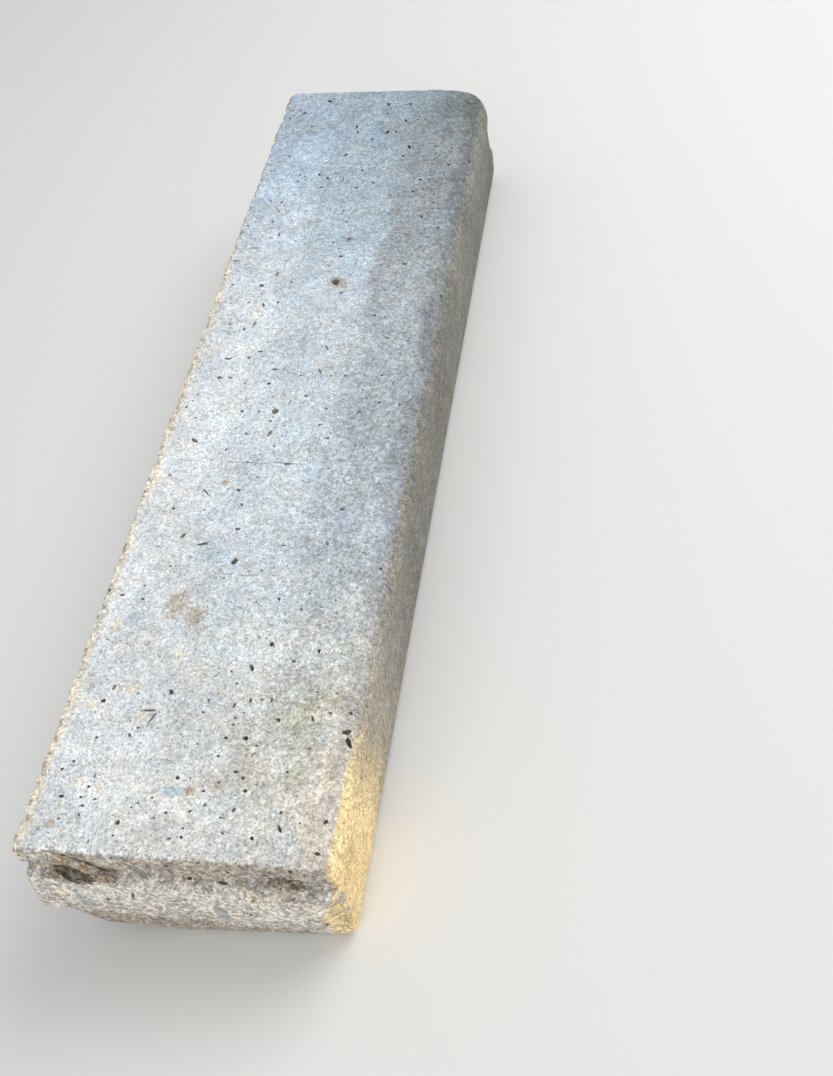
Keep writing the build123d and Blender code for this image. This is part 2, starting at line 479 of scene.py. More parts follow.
@dataclass
class SmoothStone:
    """The stone as it left its mould: rounded prism, tongue and groove, on an even mesh."""

    sizes: SectionSizes
    grain: float = 3.1 * MM
    arc_steps: int = 6
    ease_steps: int = 3
    ease_before_wear: float = 0.5

    def build(self) -> bpy.types.Mesh:
        """Joins the tongue to the body, cuts the groove and meshes the whole evenly.

        Returns:
            The stone's mesh in the section.
        """
        body = new_object("blank_body", self.body())
        rib = new_object("blank_tongue", self.rib())
        slot = new_object("blank_groove", self.slot())
        add_boolean(body, rib, "UNION")
        add_boolean(body, slot, "DIFFERENCE")
        even = body.modifiers.new("even_mesh", "REMESH")
        even.mode = "VOXEL"
        even.voxel_size = self.grain
        mesh = evaluated_mesh(body, "smooth_stone")
        for part in (body, rib, slot):
            bpy.data.objects.remove(part)
        return mesh

    def body(self) -> bpy.types.Mesh:
        """The prism: the section's outline, rounded at its corners, drawn out to the length.

        Returns:
            A closed mesh.
        """
        s = self.sizes
        bm = bmesh.new()
        corners = {
            "foot_road": (0.0, 0.0, s.foot_ease),
            "ridge": (s.ridge, 0.0, s.ridge_round),
            "head_road": (s.height, s.batter_rise, s.head_road_round),
            "head_back": (s.height, s.foot_thickness, s.head_back_round),
            "foot_back": (0.0, s.foot_thickness, s.foot_ease),
        }
        points = {name: bm.verts.new((u, 0.0, v)) for name, (u, v, _) in corners.items()}
        bm.faces.new(points.values())
        for name, (_, _, radius) in corners.items():
            round_corner(bm, points[name], radius, self.arc_steps)
        drawn = bmesh.ops.extrude_face_region(bm, geom=bm.faces[:])
        far = [g for g in drawn["geom"] if isinstance(g, bmesh.types.BMVert)]
        bmesh.ops.translate(bm, verts=far, vec=(0.0, s.length, 0.0))
        bmesh.ops.recalc_face_normals(bm, faces=bm.faces[:])
        rims = [e for e in bm.edges if abs(e.verts[0].co.y - e.verts[1].co.y) < MM]
        bevel(bm, rims, s.end_ease * self.ease_before_wear, self.ease_steps)
        return to_mesh(bm, "blank_body")

    def rib(self) -> bpy.types.Mesh:
        """The tongue: a block bedded in the body, drafted to its crest and rounded all round.

        Returns:
            A closed mesh.
        """
        s, t = self.sizes, self.sizes.tongue
        run = s.height - 2 * t.inset
        depth = t.bed + t.height
        bm = self.block(run, depth, t.root)
        front = [v for v in bm.verts if v.co.y < 0]
        bmesh.ops.scale(bm, vec=(1.0, 1.0, t.crest / t.root), verts=front)
        rounds = {-1.0: t.foot_end_round, 1.0: t.head_end_round}
        for side, radius in rounds.items():
            uprights = [
                e for e in bm.edges if all(v.co.y < 0 and v.co.x * side > 0 for v in e.verts)
            ]
            bevel(bm, uprights, radius, self.arc_steps)
        crest = min(v.co.y for v in bm.verts)
        brows = [
            e for e in bm.edges
            if all(abs(v.co.y - crest) < MM for v in e.verts)
            and abs(e.verts[0].co.z - e.verts[1].co.z) < MM
        ]
        bevel(bm, brows, t.crest_round, self.arc_steps)
        middle = (s.height / 2, t.bed - depth / 2, s.tongue_level)
        bmesh.ops.translate(bm, verts=bm.verts[:], vec=middle)
        return to_mesh(bm, "blank_tongue")

    def slot(self) -> bpy.types.Mesh:
        """The cutter for the groove: the tongue's profile with its clearance, run past both sides.

        Returns:
            A closed mesh.
        """
        s, t = self.sizes, self.sizes.tongue
        deep = t.height + t.gap
        depth = deep + t.overrun
        mouth, base = t.root + 2 * t.clearance, t.crest + 2 * t.clearance
        bm = self.block(s.height + 2 * t.overrun, depth, mouth)
        floor = [v for v in bm.verts if v.co.y < 0]
        bmesh.ops.scale(bm, vec=(1.0, 1.0, base / mouth), verts=floor)
        corners = [
            e for e in bm.edges
            if all(v in floor for v in e.verts) and abs(e.verts[0].co.x - e.verts[1].co.x) > MM
        ]
        bevel(bm, corners, t.crest_round, self.arc_steps)
        middle = (s.height / 2, s.length - deep + depth / 2, s.tongue_level)
        bmesh.ops.translate(bm, verts=bm.verts[:], vec=middle)
        return to_mesh(bm, "blank_groove")

    @staticmethod
    def block(x: float, y: float, z: float) -> bmesh.types.BMesh:
        """A cuboid about the origin.

        Args:
            x: Its size across.
            y: Its size along.
            z: Its height.

        Returns:
            The new bmesh.
        """
        bm = bmesh.new()
        bmesh.ops.create_cube(bm, size=1.0)
        bmesh.ops.scale(bm, vec=(x, y, z), verts=bm.verts[:])
        return bm


def bevel(
    bm: bmesh.types.BMesh, parts: list, reach: float, steps: int, affect: str = "EDGES",
) -> None:
    """Rounds edges of a solid, or corners of a flat outline.

    Args:
        bm: The bmesh that holds them.
        parts: The edges, or the corners' vertices.
        reach: How far the rounding reaches from each of them.
        steps: How many flats the rounding gets.
        affect: EDGES or VERTICES.
    """
    bmesh.ops.bevel(
        bm, geom=parts, offset=reach, offset_type="OFFSET", affect=affect,
        segments=steps, profile=0.5, material=-1, clamp_overlap=True,
    )


def round_corner(
    bm: bmesh.types.BMesh, corner: bmesh.types.BMVert, radius: float, steps: int,
) -> None:
    """Rounds one corner of a flat outline to a radius.

    Args:
        bm: The bmesh that holds the outline's face.
        corner: The corner's vertex.
        radius: The radius of the arc.
        steps: How many straight pieces the arc gets.
    """
    ends = [e.other_vert(corner).co - corner.co for e in corner.link_edges]
    setback = radius / math.tan(ends[0].angle(ends[1]) / 2)
    bevel(bm, [corner], setback, steps, "VERTICES")


def to_mesh(bm: bmesh.types.BMesh, name: str) -> bpy.types.Mesh:
    """Writes a bmesh into a new mesh, with its faces outwards, and frees it.

    Args:
        bm: The bmesh.
        name: The mesh's name.

    Returns:
        The mesh.
    """
    bmesh.ops.recalc_face_normals(bm, faces=bm.faces[:])
    mesh = bpy.data.meshes.new(name)
    bm.to_mesh(mesh)
    bm.free()
    return mesh


def new_object(name: str, data: bpy.types.ID) -> bpy.types.Object:
    """Puts a mesh, a light or a camera into the scene as an object at the origin.

    Args:
        name: The object's name.
        data: The mesh, light or camera.

    Returns:
        The object.
    """
    made = bpy.data.objects.new(name, data)
    bpy.context.scene.collection.objects.link(made)
    return made


def add_boolean(target: bpy.types.Object, tool: bpy.types.Object, operation: str) -> None:
    """Adds a live Boolean modifier.

    Args:
        target: The object that is changed.
        tool: The object that is joined or cut away.
        operation: UNION or DIFFERENCE.
    """
    cut = target.modifiers.new(operation.lower(), "BOOLEAN")
    cut.operation = operation
    cut.solver = "MANIFOLD"
    cut.object = tool


def evaluated_mesh(source: bpy.types.Object, name: str) -> bpy.types.Mesh:
    """A new mesh with the object's modifiers worked in.

    Args:
        source: The object.
        name: The new mesh's name.

    Returns:
        The mesh.
    """
    graph = bpy.context.evaluated_depsgraph_get()
    mesh = bpy.data.meshes.new_from_object(source.evaluated_get(graph))
    mesh.name = name
    return mesh


def points_of(mesh: bpy.types.Mesh) -> np.ndarray:
    """A mesh's vertices as an array.

    Args:
        mesh: The mesh.

    Returns:
        One place a row.
    """
    flat = np.empty(len(mesh.vertices) * 3, np.float32)
    mesh.vertices.foreach_get("co", flat)
    return flat.reshape(-1, 3).astype(float)


def normals_of(mesh: bpy.types.Mesh) -> np.ndarray:
    """A mesh's vertex normals as an array.

    Args:
        mesh: The mesh.

    Returns:
        One direction a row.
    """
    flat = np.empty(len(mesh.vertices) * 3, np.float32)
    mesh.vertex_normals.foreach_get("vector", flat)
    return flat.reshape(-1, 3).astype(float)


def surface_of(mesh: bpy.types.Mesh) -> BVHTree:
    """A mesh's surface, which can be asked where a line meets it.

    Args:
        mesh: The mesh.

    Returns:
        Its tree of faces.
    """
    bm = bmesh.new()
    bm.from_mesh(mesh)
    surface = BVHTree.FromBMesh(bm)
    bm.free()
    return surface


def set_points(mesh: bpy.types.Mesh, points: np.ndarray) -> None:
    """Moves a mesh's vertices to new places.

    Args:
        mesh: The mesh.
        points: The new places, one a row.
    """
    mesh.vertices.foreach_set("co", points.astype(np.float32).ravel())
    mesh.update()


def noise_at(points: np.ndarray, size: float, seed: float, octaves: int = 1) -> np.ndarray:
    """Smooth noise between about -1 and 1.

    Args:
        points: Where it is wanted, one place a row.
        size: The size of its features, in the places' own unit.
        seed: An offset that makes one noise differ from another.
        octaves: How many finer layers are added.

    Returns:
        One value a place.
    """
    shift = Vector((seed, seed * 1.7, seed * 0.6))
    places = [Vector(p) + shift for p in (points / size).tolist()]
    if octaves == 1:
        return np.array([noise.noise(place) for place in places])
    return np.array([noise.fractal(place, 0.9, 2.1, octaves) for place in places])


def smooth(share: np.ndarray) -> np.ndarray:
    """Eases shares from 0 to 1, so that they leave 0 and reach 1 gently."""
    return share * share * (3 - 2 * share)


def ramp(values: np.ndarray, low: float, high: float) -> np.ndarray:
    """Rises smoothly from 0 at low to 1 at high, or falls if low is the greater.

    Args:
        values: The values to look up.
        low: Where the ramp is 0.
        high: Where the ramp is 1.

    Returns:
        One share a value.
    """
    return smooth(np.clip((values - low) / (high - low), 0.0, 1.0))


@dataclass
class Wear:
    """Years of handling and weather: uneven faces, rubbed arrises, and a soft root at the tongue.

    The tables of pairs are in millimetres. In foot_knocks each pair is a place along the foot's
    upper arris and how far it seems knocked back there. In tongue_drops it is a place across the
    stone and how far the tongue's low side hangs down, and in far_corner a place across and how far
    the far end is rounded back.
    """

    sizes: SectionSizes
    unevenness: float = 0.30 * MM
    foot_arris_reach: float = 7.0 * MM
    eased_already: float = 3.4 * MM
    arris_loss: float = 0.8 * MM
    arris_reach: float = 9.0 * MM
    flare: float = 5.8 * MM
    flare_reach: float = 225.0 * MM
    knocked_corner: float = 32.0 * MM
    tongue_spread: float = 14.0 * MM
    tongue_head_end: float = 242.0 * MM
    crest_loss: float = 1.1 * MM
    scallop_depth: float = 11.0 * MM
    deepest_loss: float = 9 * MM
    root_passes: int = 8
    root_ahead: float = 7 * MM
    root_behind: float = 1 * MM
    root_reach: float = 8 * MM
    tongue_drops: tuple[tuple[float, float], ...] = (
        (0, 23), (26, 21), (42, 14), (76, 11), (165, 9), (225, 3), (250, 0),
    )
    far_corner: tuple[tuple[float, float], ...] = (
        (190, 0), (208, 2.5), (225, 8), (238, 17), (246, 25), (250, 31),
    )
    foot_knocks: tuple[tuple[float, float], ...] = (
        (0, 3), (28, 4), (45, 3), (70, 4.5), (95, 3), (120, 4), (150, 3.2), (175, 5), (200, 4.5),
        (212, 7), (224, 5), (240, 6.5), (250, 4), (275, 2.5), (285, 0.8), (300, 2), (320, 3),
        (335, 1.5), (342, 6), (350, 2), (365, 5), (380, 4), (400, 2.5), (410, 1), (425, 0.2),
        (432, 3), (450, 1.5), (475, 1), (500, 1), (538, 1.5), (546, 6), (552, 6), (560, 2.5),
        (574, 3.5), (584, 5), (594, 4), (602, 1.5), (640, 1.2), (675, 2), (690, 4.5), (700, 3),
        (730, 2.5), (755, 4), (790, 3), (820, 5), (850, 3.5), (880, 5), (915, 3.5), (945, 5.5),
        (975, 4), (1000, 6),
    )

    def apply(self, mesh: bpy.types.Mesh) -> None:
        """Moves the vertices inwards, so that the stone stays within its mould's size.

        Args:
            mesh: The smooth stone's mesh, which is changed.
        """
        self.soften_root(mesh)
        points = points_of(mesh)
        normals = normals_of(mesh)
        inward = self.face_unevenness(points) + self.rubbed_arrises(points)
        inward = inward + self.worn_crest(points)
        moved = points - normals * inward[:, None]
        for blow in (
            self.nibbled_foot_arris, self.flared_corner, self.uneven_tongue, self.knocked_corners,
        ):
            moved = blow(moved)
        set_points(mesh, moved)

    def soften_root(self, mesh: bpy.types.Mesh) -> None:
        """Smooths the two corners in which the tongue meets the end plane.

        Args:
            mesh: The smooth stone's mesh, which is changed.
        """
        s = self.sizes
        half, clear_of_ends = s.tongue.root / 2, s.tongue.inset * 2
        bm = bmesh.new()
        bm.from_mesh(mesh)
        root = [
            v for v in bm.verts
            if -self.root_ahead < v.co.y < self.root_behind
            and abs(abs(v.co.z - s.tongue_level) - half) < self.root_reach
            and clear_of_ends < v.co.x < s.height - clear_of_ends
        ]
        for _ in range(self.root_passes):
            bmesh.ops.smooth_vert(
                bm, verts=root, factor=0.5, use_axis_x=False, use_axis_y=True, use_axis_z=True
            )
        bm.to_mesh(mesh)
        bm.free()

    def face_unevenness(self, points: np.ndarray) -> np.ndarray:
        """How far each face dips below its mould's plane.

        Args:
            points: The vertices in the section.

        Returns:
            The depth at each vertex, in metres.
        """
        broad = 0.5 + 0.5 * noise_at(points, 0.110, 3.1)
        middle = 0.5 + 0.5 * noise_at(points, 0.032, 8.7)
        small = np.maximum(noise_at(points, 0.011, 5.3), 0.0)
        return self.unevenness * (0.9 * broad + 0.6 * middle + 0.7 * small)

    def rubbed_arrises(self, points: np.ndarray) -> np.ndarray:
        """How far the arrises are rubbed down.

        Args:
            points: The vertices in the section.

        Returns:
            The depth at each vertex, in metres.
        """
        s = self.sizes
        u, y, v = points.T
        to_ends = np.minimum(np.abs(y), np.abs(s.length - y))
        slope = s.batter_rise / s.batter_height
        road = np.where(u > s.ridge, (u - s.ridge) * slope, 0.0)
        to_long_faces = np.minimum.reduce([u, s.height - u, s.foot_thickness - v, v - road])
        near_rim = ramp(to_ends + np.maximum(to_long_faces, 0.0), self.arris_reach, 0.0)
        rough = 0.55 + 0.45 * noise_at(points, 0.014, 21.0, 3)
        return self.arris_loss * near_rim * np.clip(rough, 0.0, 1.6)

    def worn_crest(self, points: np.ndarray) -> np.ndarray:
        """How far the tongue's crest is worn down.

        Args:
            points: The vertices in the section.

        Returns:
            The depth at each vertex, in metres.
        """
        height = self.sizes.tongue.height
        proud = ramp(-points[:, 1], height * 0.55, height)
        lumps = 0.5 + 0.5 * noise_at(points, 0.016, 33.0, 3)
        return self.crest_loss * proud * np.clip(lumps, 0.0, 1.3)

    def nibbled_foot_arris(self, points: np.ndarray) -> np.ndarray:
        """Pulls the foot's upper arris back unevenly, as its chips and knocks have.

        Args:
            points: The vertices in the section.

        Returns:
            The moved vertices.
        """
        s = self.sizes
        places, losses = np.array(self.foot_knocks).T * MM
        wander = 3 * MM * noise_at(points, 0.012, 15.0)
        y_places = points[:, 1]
        loss = np.interp(y_places + wander, places, losses)
        loss = np.maximum(loss - self.eased_already, 0.0) / 1.45
        scallops = np.abs(noise_at(points, 0.013, 14.0, 2))
        bites = self.scallop_depth * np.maximum(0.30 - scallops, -0.1)
        loss = loss + bites * (0.4 + 0.9 * ramp(y_places, 1000 * MM, 400 * MM))
        loss = np.clip(loss, 0.0, self.deepest_loss)
        depth_u = np.maximum(points[:, 0], 0.0)
        depth_v = np.maximum(s.foot_thickness - points[:, 2], 0.0)
        reach = self.foot_arris_reach + 1.6 * loss
        near = smooth(1.0 - np.clip(np.hypot(depth_u, depth_v * 0.75) / reach, 0.0, 1.0))
        moved = points.copy()
        moved[:, 0] += loss * near * 1.05
        moved[:, 2] -= loss * near * 0.75
        return moved

    def flared_corner(self, points: np.ndarray) -> np.ndarray:
        """Draws the near end's foot corner out a little, above the tongue.

        Args:
            points: The vertices in the section.

        Returns:
            The moved vertices.
        """
        top_of_tongue = self.sizes.tongue_level + self.sizes.tongue.root / 2
        beside = np.clip(1.0 - points[:, 0] / self.flare_reach, 0.0, 1.0)
        above = ramp(points[:, 2], top_of_tongue - 2 * MM, top_of_tongue + 6 * MM)
        at_end = ramp(points[:, 1], 22 * MM, 0.0)
        moved = points.copy()
        moved[:, 1] -= self.flare * beside * above * at_end
        return moved

    def uneven_tongue(self, points: np.ndarray) -> np.ndarray:
        """Spreads the tongue's foot end low down, and slants its head end back to the head side.

        Args:
            points: The vertices in the section.

        Returns:
            The moved vertices.
        """
        s, level = self.sizes, self.sizes.tongue_level
        u, y, v = points.T
        proud = ramp(-y, 0.0, 5 * MM)
        low = np.clip((level + 24 * MM - v) / (46 * MM), 0.0, 1.0)
        moved = points.copy()
        moved[:, 0] -= self.tongue_spread * proud * low * ramp(u, 34 * MM, 4 * MM)
        root = level - s.tongue.root / 2
        above_floor = np.clip((v - 6 * MM) / (root - 6 * MM), 0.0, 1.0)
        under = ramp(v, level + 4 * MM, level - 20 * MM) * above_floor
        places, drops = np.array(self.tongue_drops).T * MM
        moved[:, 2] -= np.interp(u, places, drops) * under * ramp(y, 4 * MM, 0.0)
        end = self.tongue_head_end - 0.4 * np.clip(level + 20 * MM - v, 0.0, 42 * MM)
        slope = s.tongue.height / (s.height - end)
        limit = -s.tongue.height + (u - end) * slope + 0.7 * MM * noise_at(points, 0.009, 44.0)
        slanted = np.maximum(moved[:, 1], np.minimum(limit, 0.0))
        moved[:, 1] = np.where(u > end, slanted, moved[:, 1])
        return moved

    def knocked_corners(self, points: np.ndarray) -> np.ndarray:
        """Knocks off the near end's lowest corner at the foot, and rounds the far end at the head.

        Args:
            points: The vertices in the section.

        Returns:
            The moved vertices.
        """
        s = self.sizes
        u, y, v = points.T
        moved = points.copy()
        uneven = 2.5 * MM * noise_at(points, 0.015, 46.0, 2)
        missing = np.maximum(self.knocked_corner + uneven - u - v, 0.0) / 2
        missing = missing * ramp(y, 38 * MM, 3 * MM)
        moved[:, 0] += missing
        moved[:, 2] += missing
        places, losses = np.array(self.far_corner).T * MM
        back = np.interp(u, places, losses) * (0.35 + 0.65 * ramp(v, 60 * MM, 125 * MM))
        start = s.length - 90 * MM
        share = np.clip((y - start) / (s.length - start), 0.0, 1.0)
        moved[:, 1] -= back * share
        return moved


@dataclass
class Cutters:
    """Small closed blobs that are cut out of the stone or joined to it: holes, chips, crumbs.

    The shares say how wide and deep an air hole's blob is for its mouth's size, and how far its
    middle lies below the face.
    """

    sizes: SectionSizes
    rng: random.Random
    surface: BVHTree | None = None
    search_above: float = 25 * MM
    search_depth: float = 40 * MM
    mouth_share: float = 0.48
    depth_share: float = 1.3
    sunk_share: float = 0.35
    scattered_widths: tuple[float, ...] = (1.4, 1.6, 1.8, 2.2, 3.0)
    taken: list[tuple[Vector, float]] = field(default_factory=list)
    bm: bmesh.types.BMesh = field(default_factory=bmesh.new)

    def free(self, centre: Vector, radius: float) -> bool:
        """Whether no blob so far comes near a new one.

        Args:
            centre: The new blob's centre.
            radius: The radius that holds all of it.

        Returns:
            True if it is clear of the others.
        """
        return all((centre - c).length > radius + r for c, r in self.taken)

    def keep(self, u: float, y: float, v: float, radius: float) -> None:
        """Keeps a place clear of blobs, its numbers in millimetres."""
        self.taken.append((spot(u, y, v), radius * MM))

    def on_surface(self, place: Vector, out: Vector) -> Vector:
        """Where the worn surface lies before or behind a place.

        Args:
            place: The place on the unworn face.
            out: The face's outward direction.

        Returns:
            The place on the worn surface, or the same place if there is none in reach.
        """
        if self.surface is None:
            return place
        hit = self.surface.ray_cast(place + out * self.search_above, -out, self.search_depth)[0]
        return place if hit is None else hit

    def blob(
        self, centre: Vector, half_sizes: tuple[float, float, float], turn: Matrix, form: Form,
    ) -> None:
        """Adds an uneven ellipsoid, unless it would touch another.

        Args:
            centre: Its centre in the section.
            half_sizes: Its half sizes along its own axes.
            turn: Its turn, a 3x3 matrix.
            form: What it is like.
        """
        reach = max(half_sizes) * (1.0 + form.roughness)
        if not self.free(centre, reach):
            return
        self.taken.append((centre, reach))
        ball = bmesh.ops.create_icosphere(self.bm, subdivisions=form.fineness, radius=1.0)["verts"]
        seed = self.rng.uniform(0.0, 50.0)
        shift = Vector((seed, seed, seed))
        for vert in ball:
            push = 1.0 + form.roughness * noise.noise(vert.co * form.lumps + shift)
            local = Vector(c * h * push for c, h in zip(vert.co, half_sizes))
            vert.co = centre + turn @ local
        for face in {f for vert in ball for f in vert.link_faces}:
            face.material_index = form.finish.value
            face.smooth = True

    def air_hole(
        self, place: Vector, out: Vector, length: float, width: float, turn: float,
    ) -> None:
        """Sinks one air hole into a face.

        Args:
            place: Its place on the face.
            out: The face's outward direction.
            length: The length of its mouth.
            width: The width of its mouth.
            turn: Its turn in the face, in degrees.
        """
        depth = 0.5 * width * self.rng.uniform(0.9, 1.3)
        basis = face_basis(out) @ Matrix.Rotation(math.radians(turn), 3, "Z")
        half_sizes = (length * self.mouth_share, width * self.mouth_share, depth * self.depth_share)
        centre = place - out * depth * self.sunk_share
        self.blob(centre, half_sizes, basis, AIR_HOLE)

    def back_face_holes(self, holes_there: tuple[Hole, ...]) -> None:
        """Sinks the back face's own air holes, each where it is.

        Args:
            holes_there: The holes.
        """
        s = self.sizes
        for hole in holes_there:
            u, y = hole.across * MM, hole.along * MM
            past = max(u - (s.height - s.head_back_round), 0.0)
            drop = s.head_back_round - math.sqrt(max(s.head_back_round ** 2 - past ** 2, 0.0))
            out = Vector((past, 0.0, s.head_back_round - drop)).normalized()
            place = Vector((u, y, s.foot_thickness - drop))
            self.air_hole(place, out, hole.length * MM, hole.width * MM, hole.turn)

    def scattered_holes(
        self, count: int, corner: Vector, run: Vector, rise: Vector, out: Vector,
    ) -> None:
        """Sinks small air holes at random in a flat four-sided field.

        Args:
            count: How many are tried.
            corner: One corner of the field.
            run: The field's one side.
            rise: Its other side.
            out: The face's outward direction.
        """
        for _ in range(count):
            place = corner + run * self.rng.random() + rise * self.rng.random()
            place = self.on_surface(place, out)
            width = self.rng.choice(self.scattered_widths) * MM
            length = width * self.rng.uniform(1.0, 1.7)
            self.air_hole(place, out, length, width, self.rng.uniform(0.0, 180.0))

    def chips(self, rows: tuple[tuple[float, ...], ...]) -> None:
        """Breaks pieces off the arrises.

        Args:
            rows: Each chip's centre and its half sizes, u, y and v, in millimetres.
        """
        for u, y, v, half_u, half_y, half_v in rows:
            about_z, about_x = self.rng.uniform(-0.4, 0.4), self.rng.uniform(-0.4, 0.4)
            turn = Matrix.Rotation(about_z, 3, "Z") @ Matrix.Rotation(about_x, 3, "X")
            half_sizes = (half_u * MM, half_y * MM, half_v * MM)
            self.blob(spot(u, y, v), half_sizes, turn, CHIP)

    def nicks(self, count: int, start: Vector, stop: Vector, out: Vector, bite: float) -> None:
        """Nicks an arris at random along its length.

        Args:
            count: How many are tried.
            start: One end of the arris.
            stop: Its other end.
            out: The direction away from the stone at the arris.
            bite: How deep the deepest nick goes.
        """
        along = (stop - start).normalized()
        basis = Matrix((along, out.cross(along), out)).transposed()
        for _ in range(count):
            depth = bite * self.rng.uniform(0.25, 1.0) ** 1.5
            half = depth * self.rng.uniform(1.1, 2.4) + 1.2 * MM
            radius = max(half * 0.7, depth)
            centre = start.lerp(stop, self.rng.random()) + out * (radius - depth)
            self.blob(centre, (half, radius * 1.25, radius), basis, NICK)

    def streak(self, row: Streak) -> None:
        """Adds one long ragged blob.

        Args:
            row: The streak.
        """
        start, stop = spot(*row.start), spot(*row.stop)
        run = stop - start
        first = run.normalized()
        third = first.cross(UP).normalized()
        basis = Matrix((first, third.cross(first), third)).transposed()
        half_sizes = (run.length / 2, row.half_width * MM, row.half_depth * MM)
        self.blob((start + stop) / 2, half_sizes, basis, row.form)

    def pebble(
        self, u: float, y: float, v: float, size: float, out: Vector, proud: float = 0.25,
    ) -> None:
        """Sets a small stone into the surface, standing a little out of it.

        Args:
            u: Its place from the foot to the head, in millimetres.
            y: Its place along the stone.
            v: Its place from the road face to the back face.
            size: Its diameter.
            out: The surface's outward direction.
            proud: How much of its half thickness stands out.
        """
        half = size * MM / 2
        turn = face_basis(out) @ Matrix.Rotation(self.rng.uniform(0.0, math.pi), 3, "Z")
        half_sizes = (half * 1.15, half * 0.85, half * 0.55)
        centre = spot(u, y, v) - out * half * 0.55 * (1.0 - proud)
        self.blob(centre, half_sizes, turn, PEBBLE)

    def lump(self, u: float, y: float, v: float, size: float) -> None:
        """Leaves a crumbly lump of concrete on the near end.

        Args:
            u: Its place from the foot to the head, in millimetres.
            y: Its place along the stone.
            v: Its place from the road face to the back face.
            size: Its diameter.
        """
        half = size * MM / 2
        turn = Matrix.Rotation(self.rng.uniform(-0.9, -0.3), 3, "Y")
        half_sizes = (half * 1.25, half, half * 0.8)
        self.blob(spot(u, y, v), half_sizes, turn, LUMP)

    def finished(self, name: str) -> bpy.types.Object:
        """The cutters as one object, which can then be cut out of the stone."""
        return new_object(name, to_mesh(self.bm, name))


def spot(*millimetres: float) -> Vector:
    """A place or a distance in the section, from its numbers in millimetres."""
    return Vector([number * MM for number in millimetres])


def face_basis(out: Vector) -> Matrix:
    """A turn whose third axis is a face's outward direction and whose first lies across the stone.

    Args:
        out: The outward direction.

    Returns:
        A 3x3 matrix.
    """
    first = Vector((0.0, 1.0, 0.0)).cross(out)
    if first.length < 0.5:
        first = Vector((1.0, 0.0, 0.0))
    first.normalize()
    second = out.cross(first).normalized()
    return Matrix((first, second, out)).transposed()


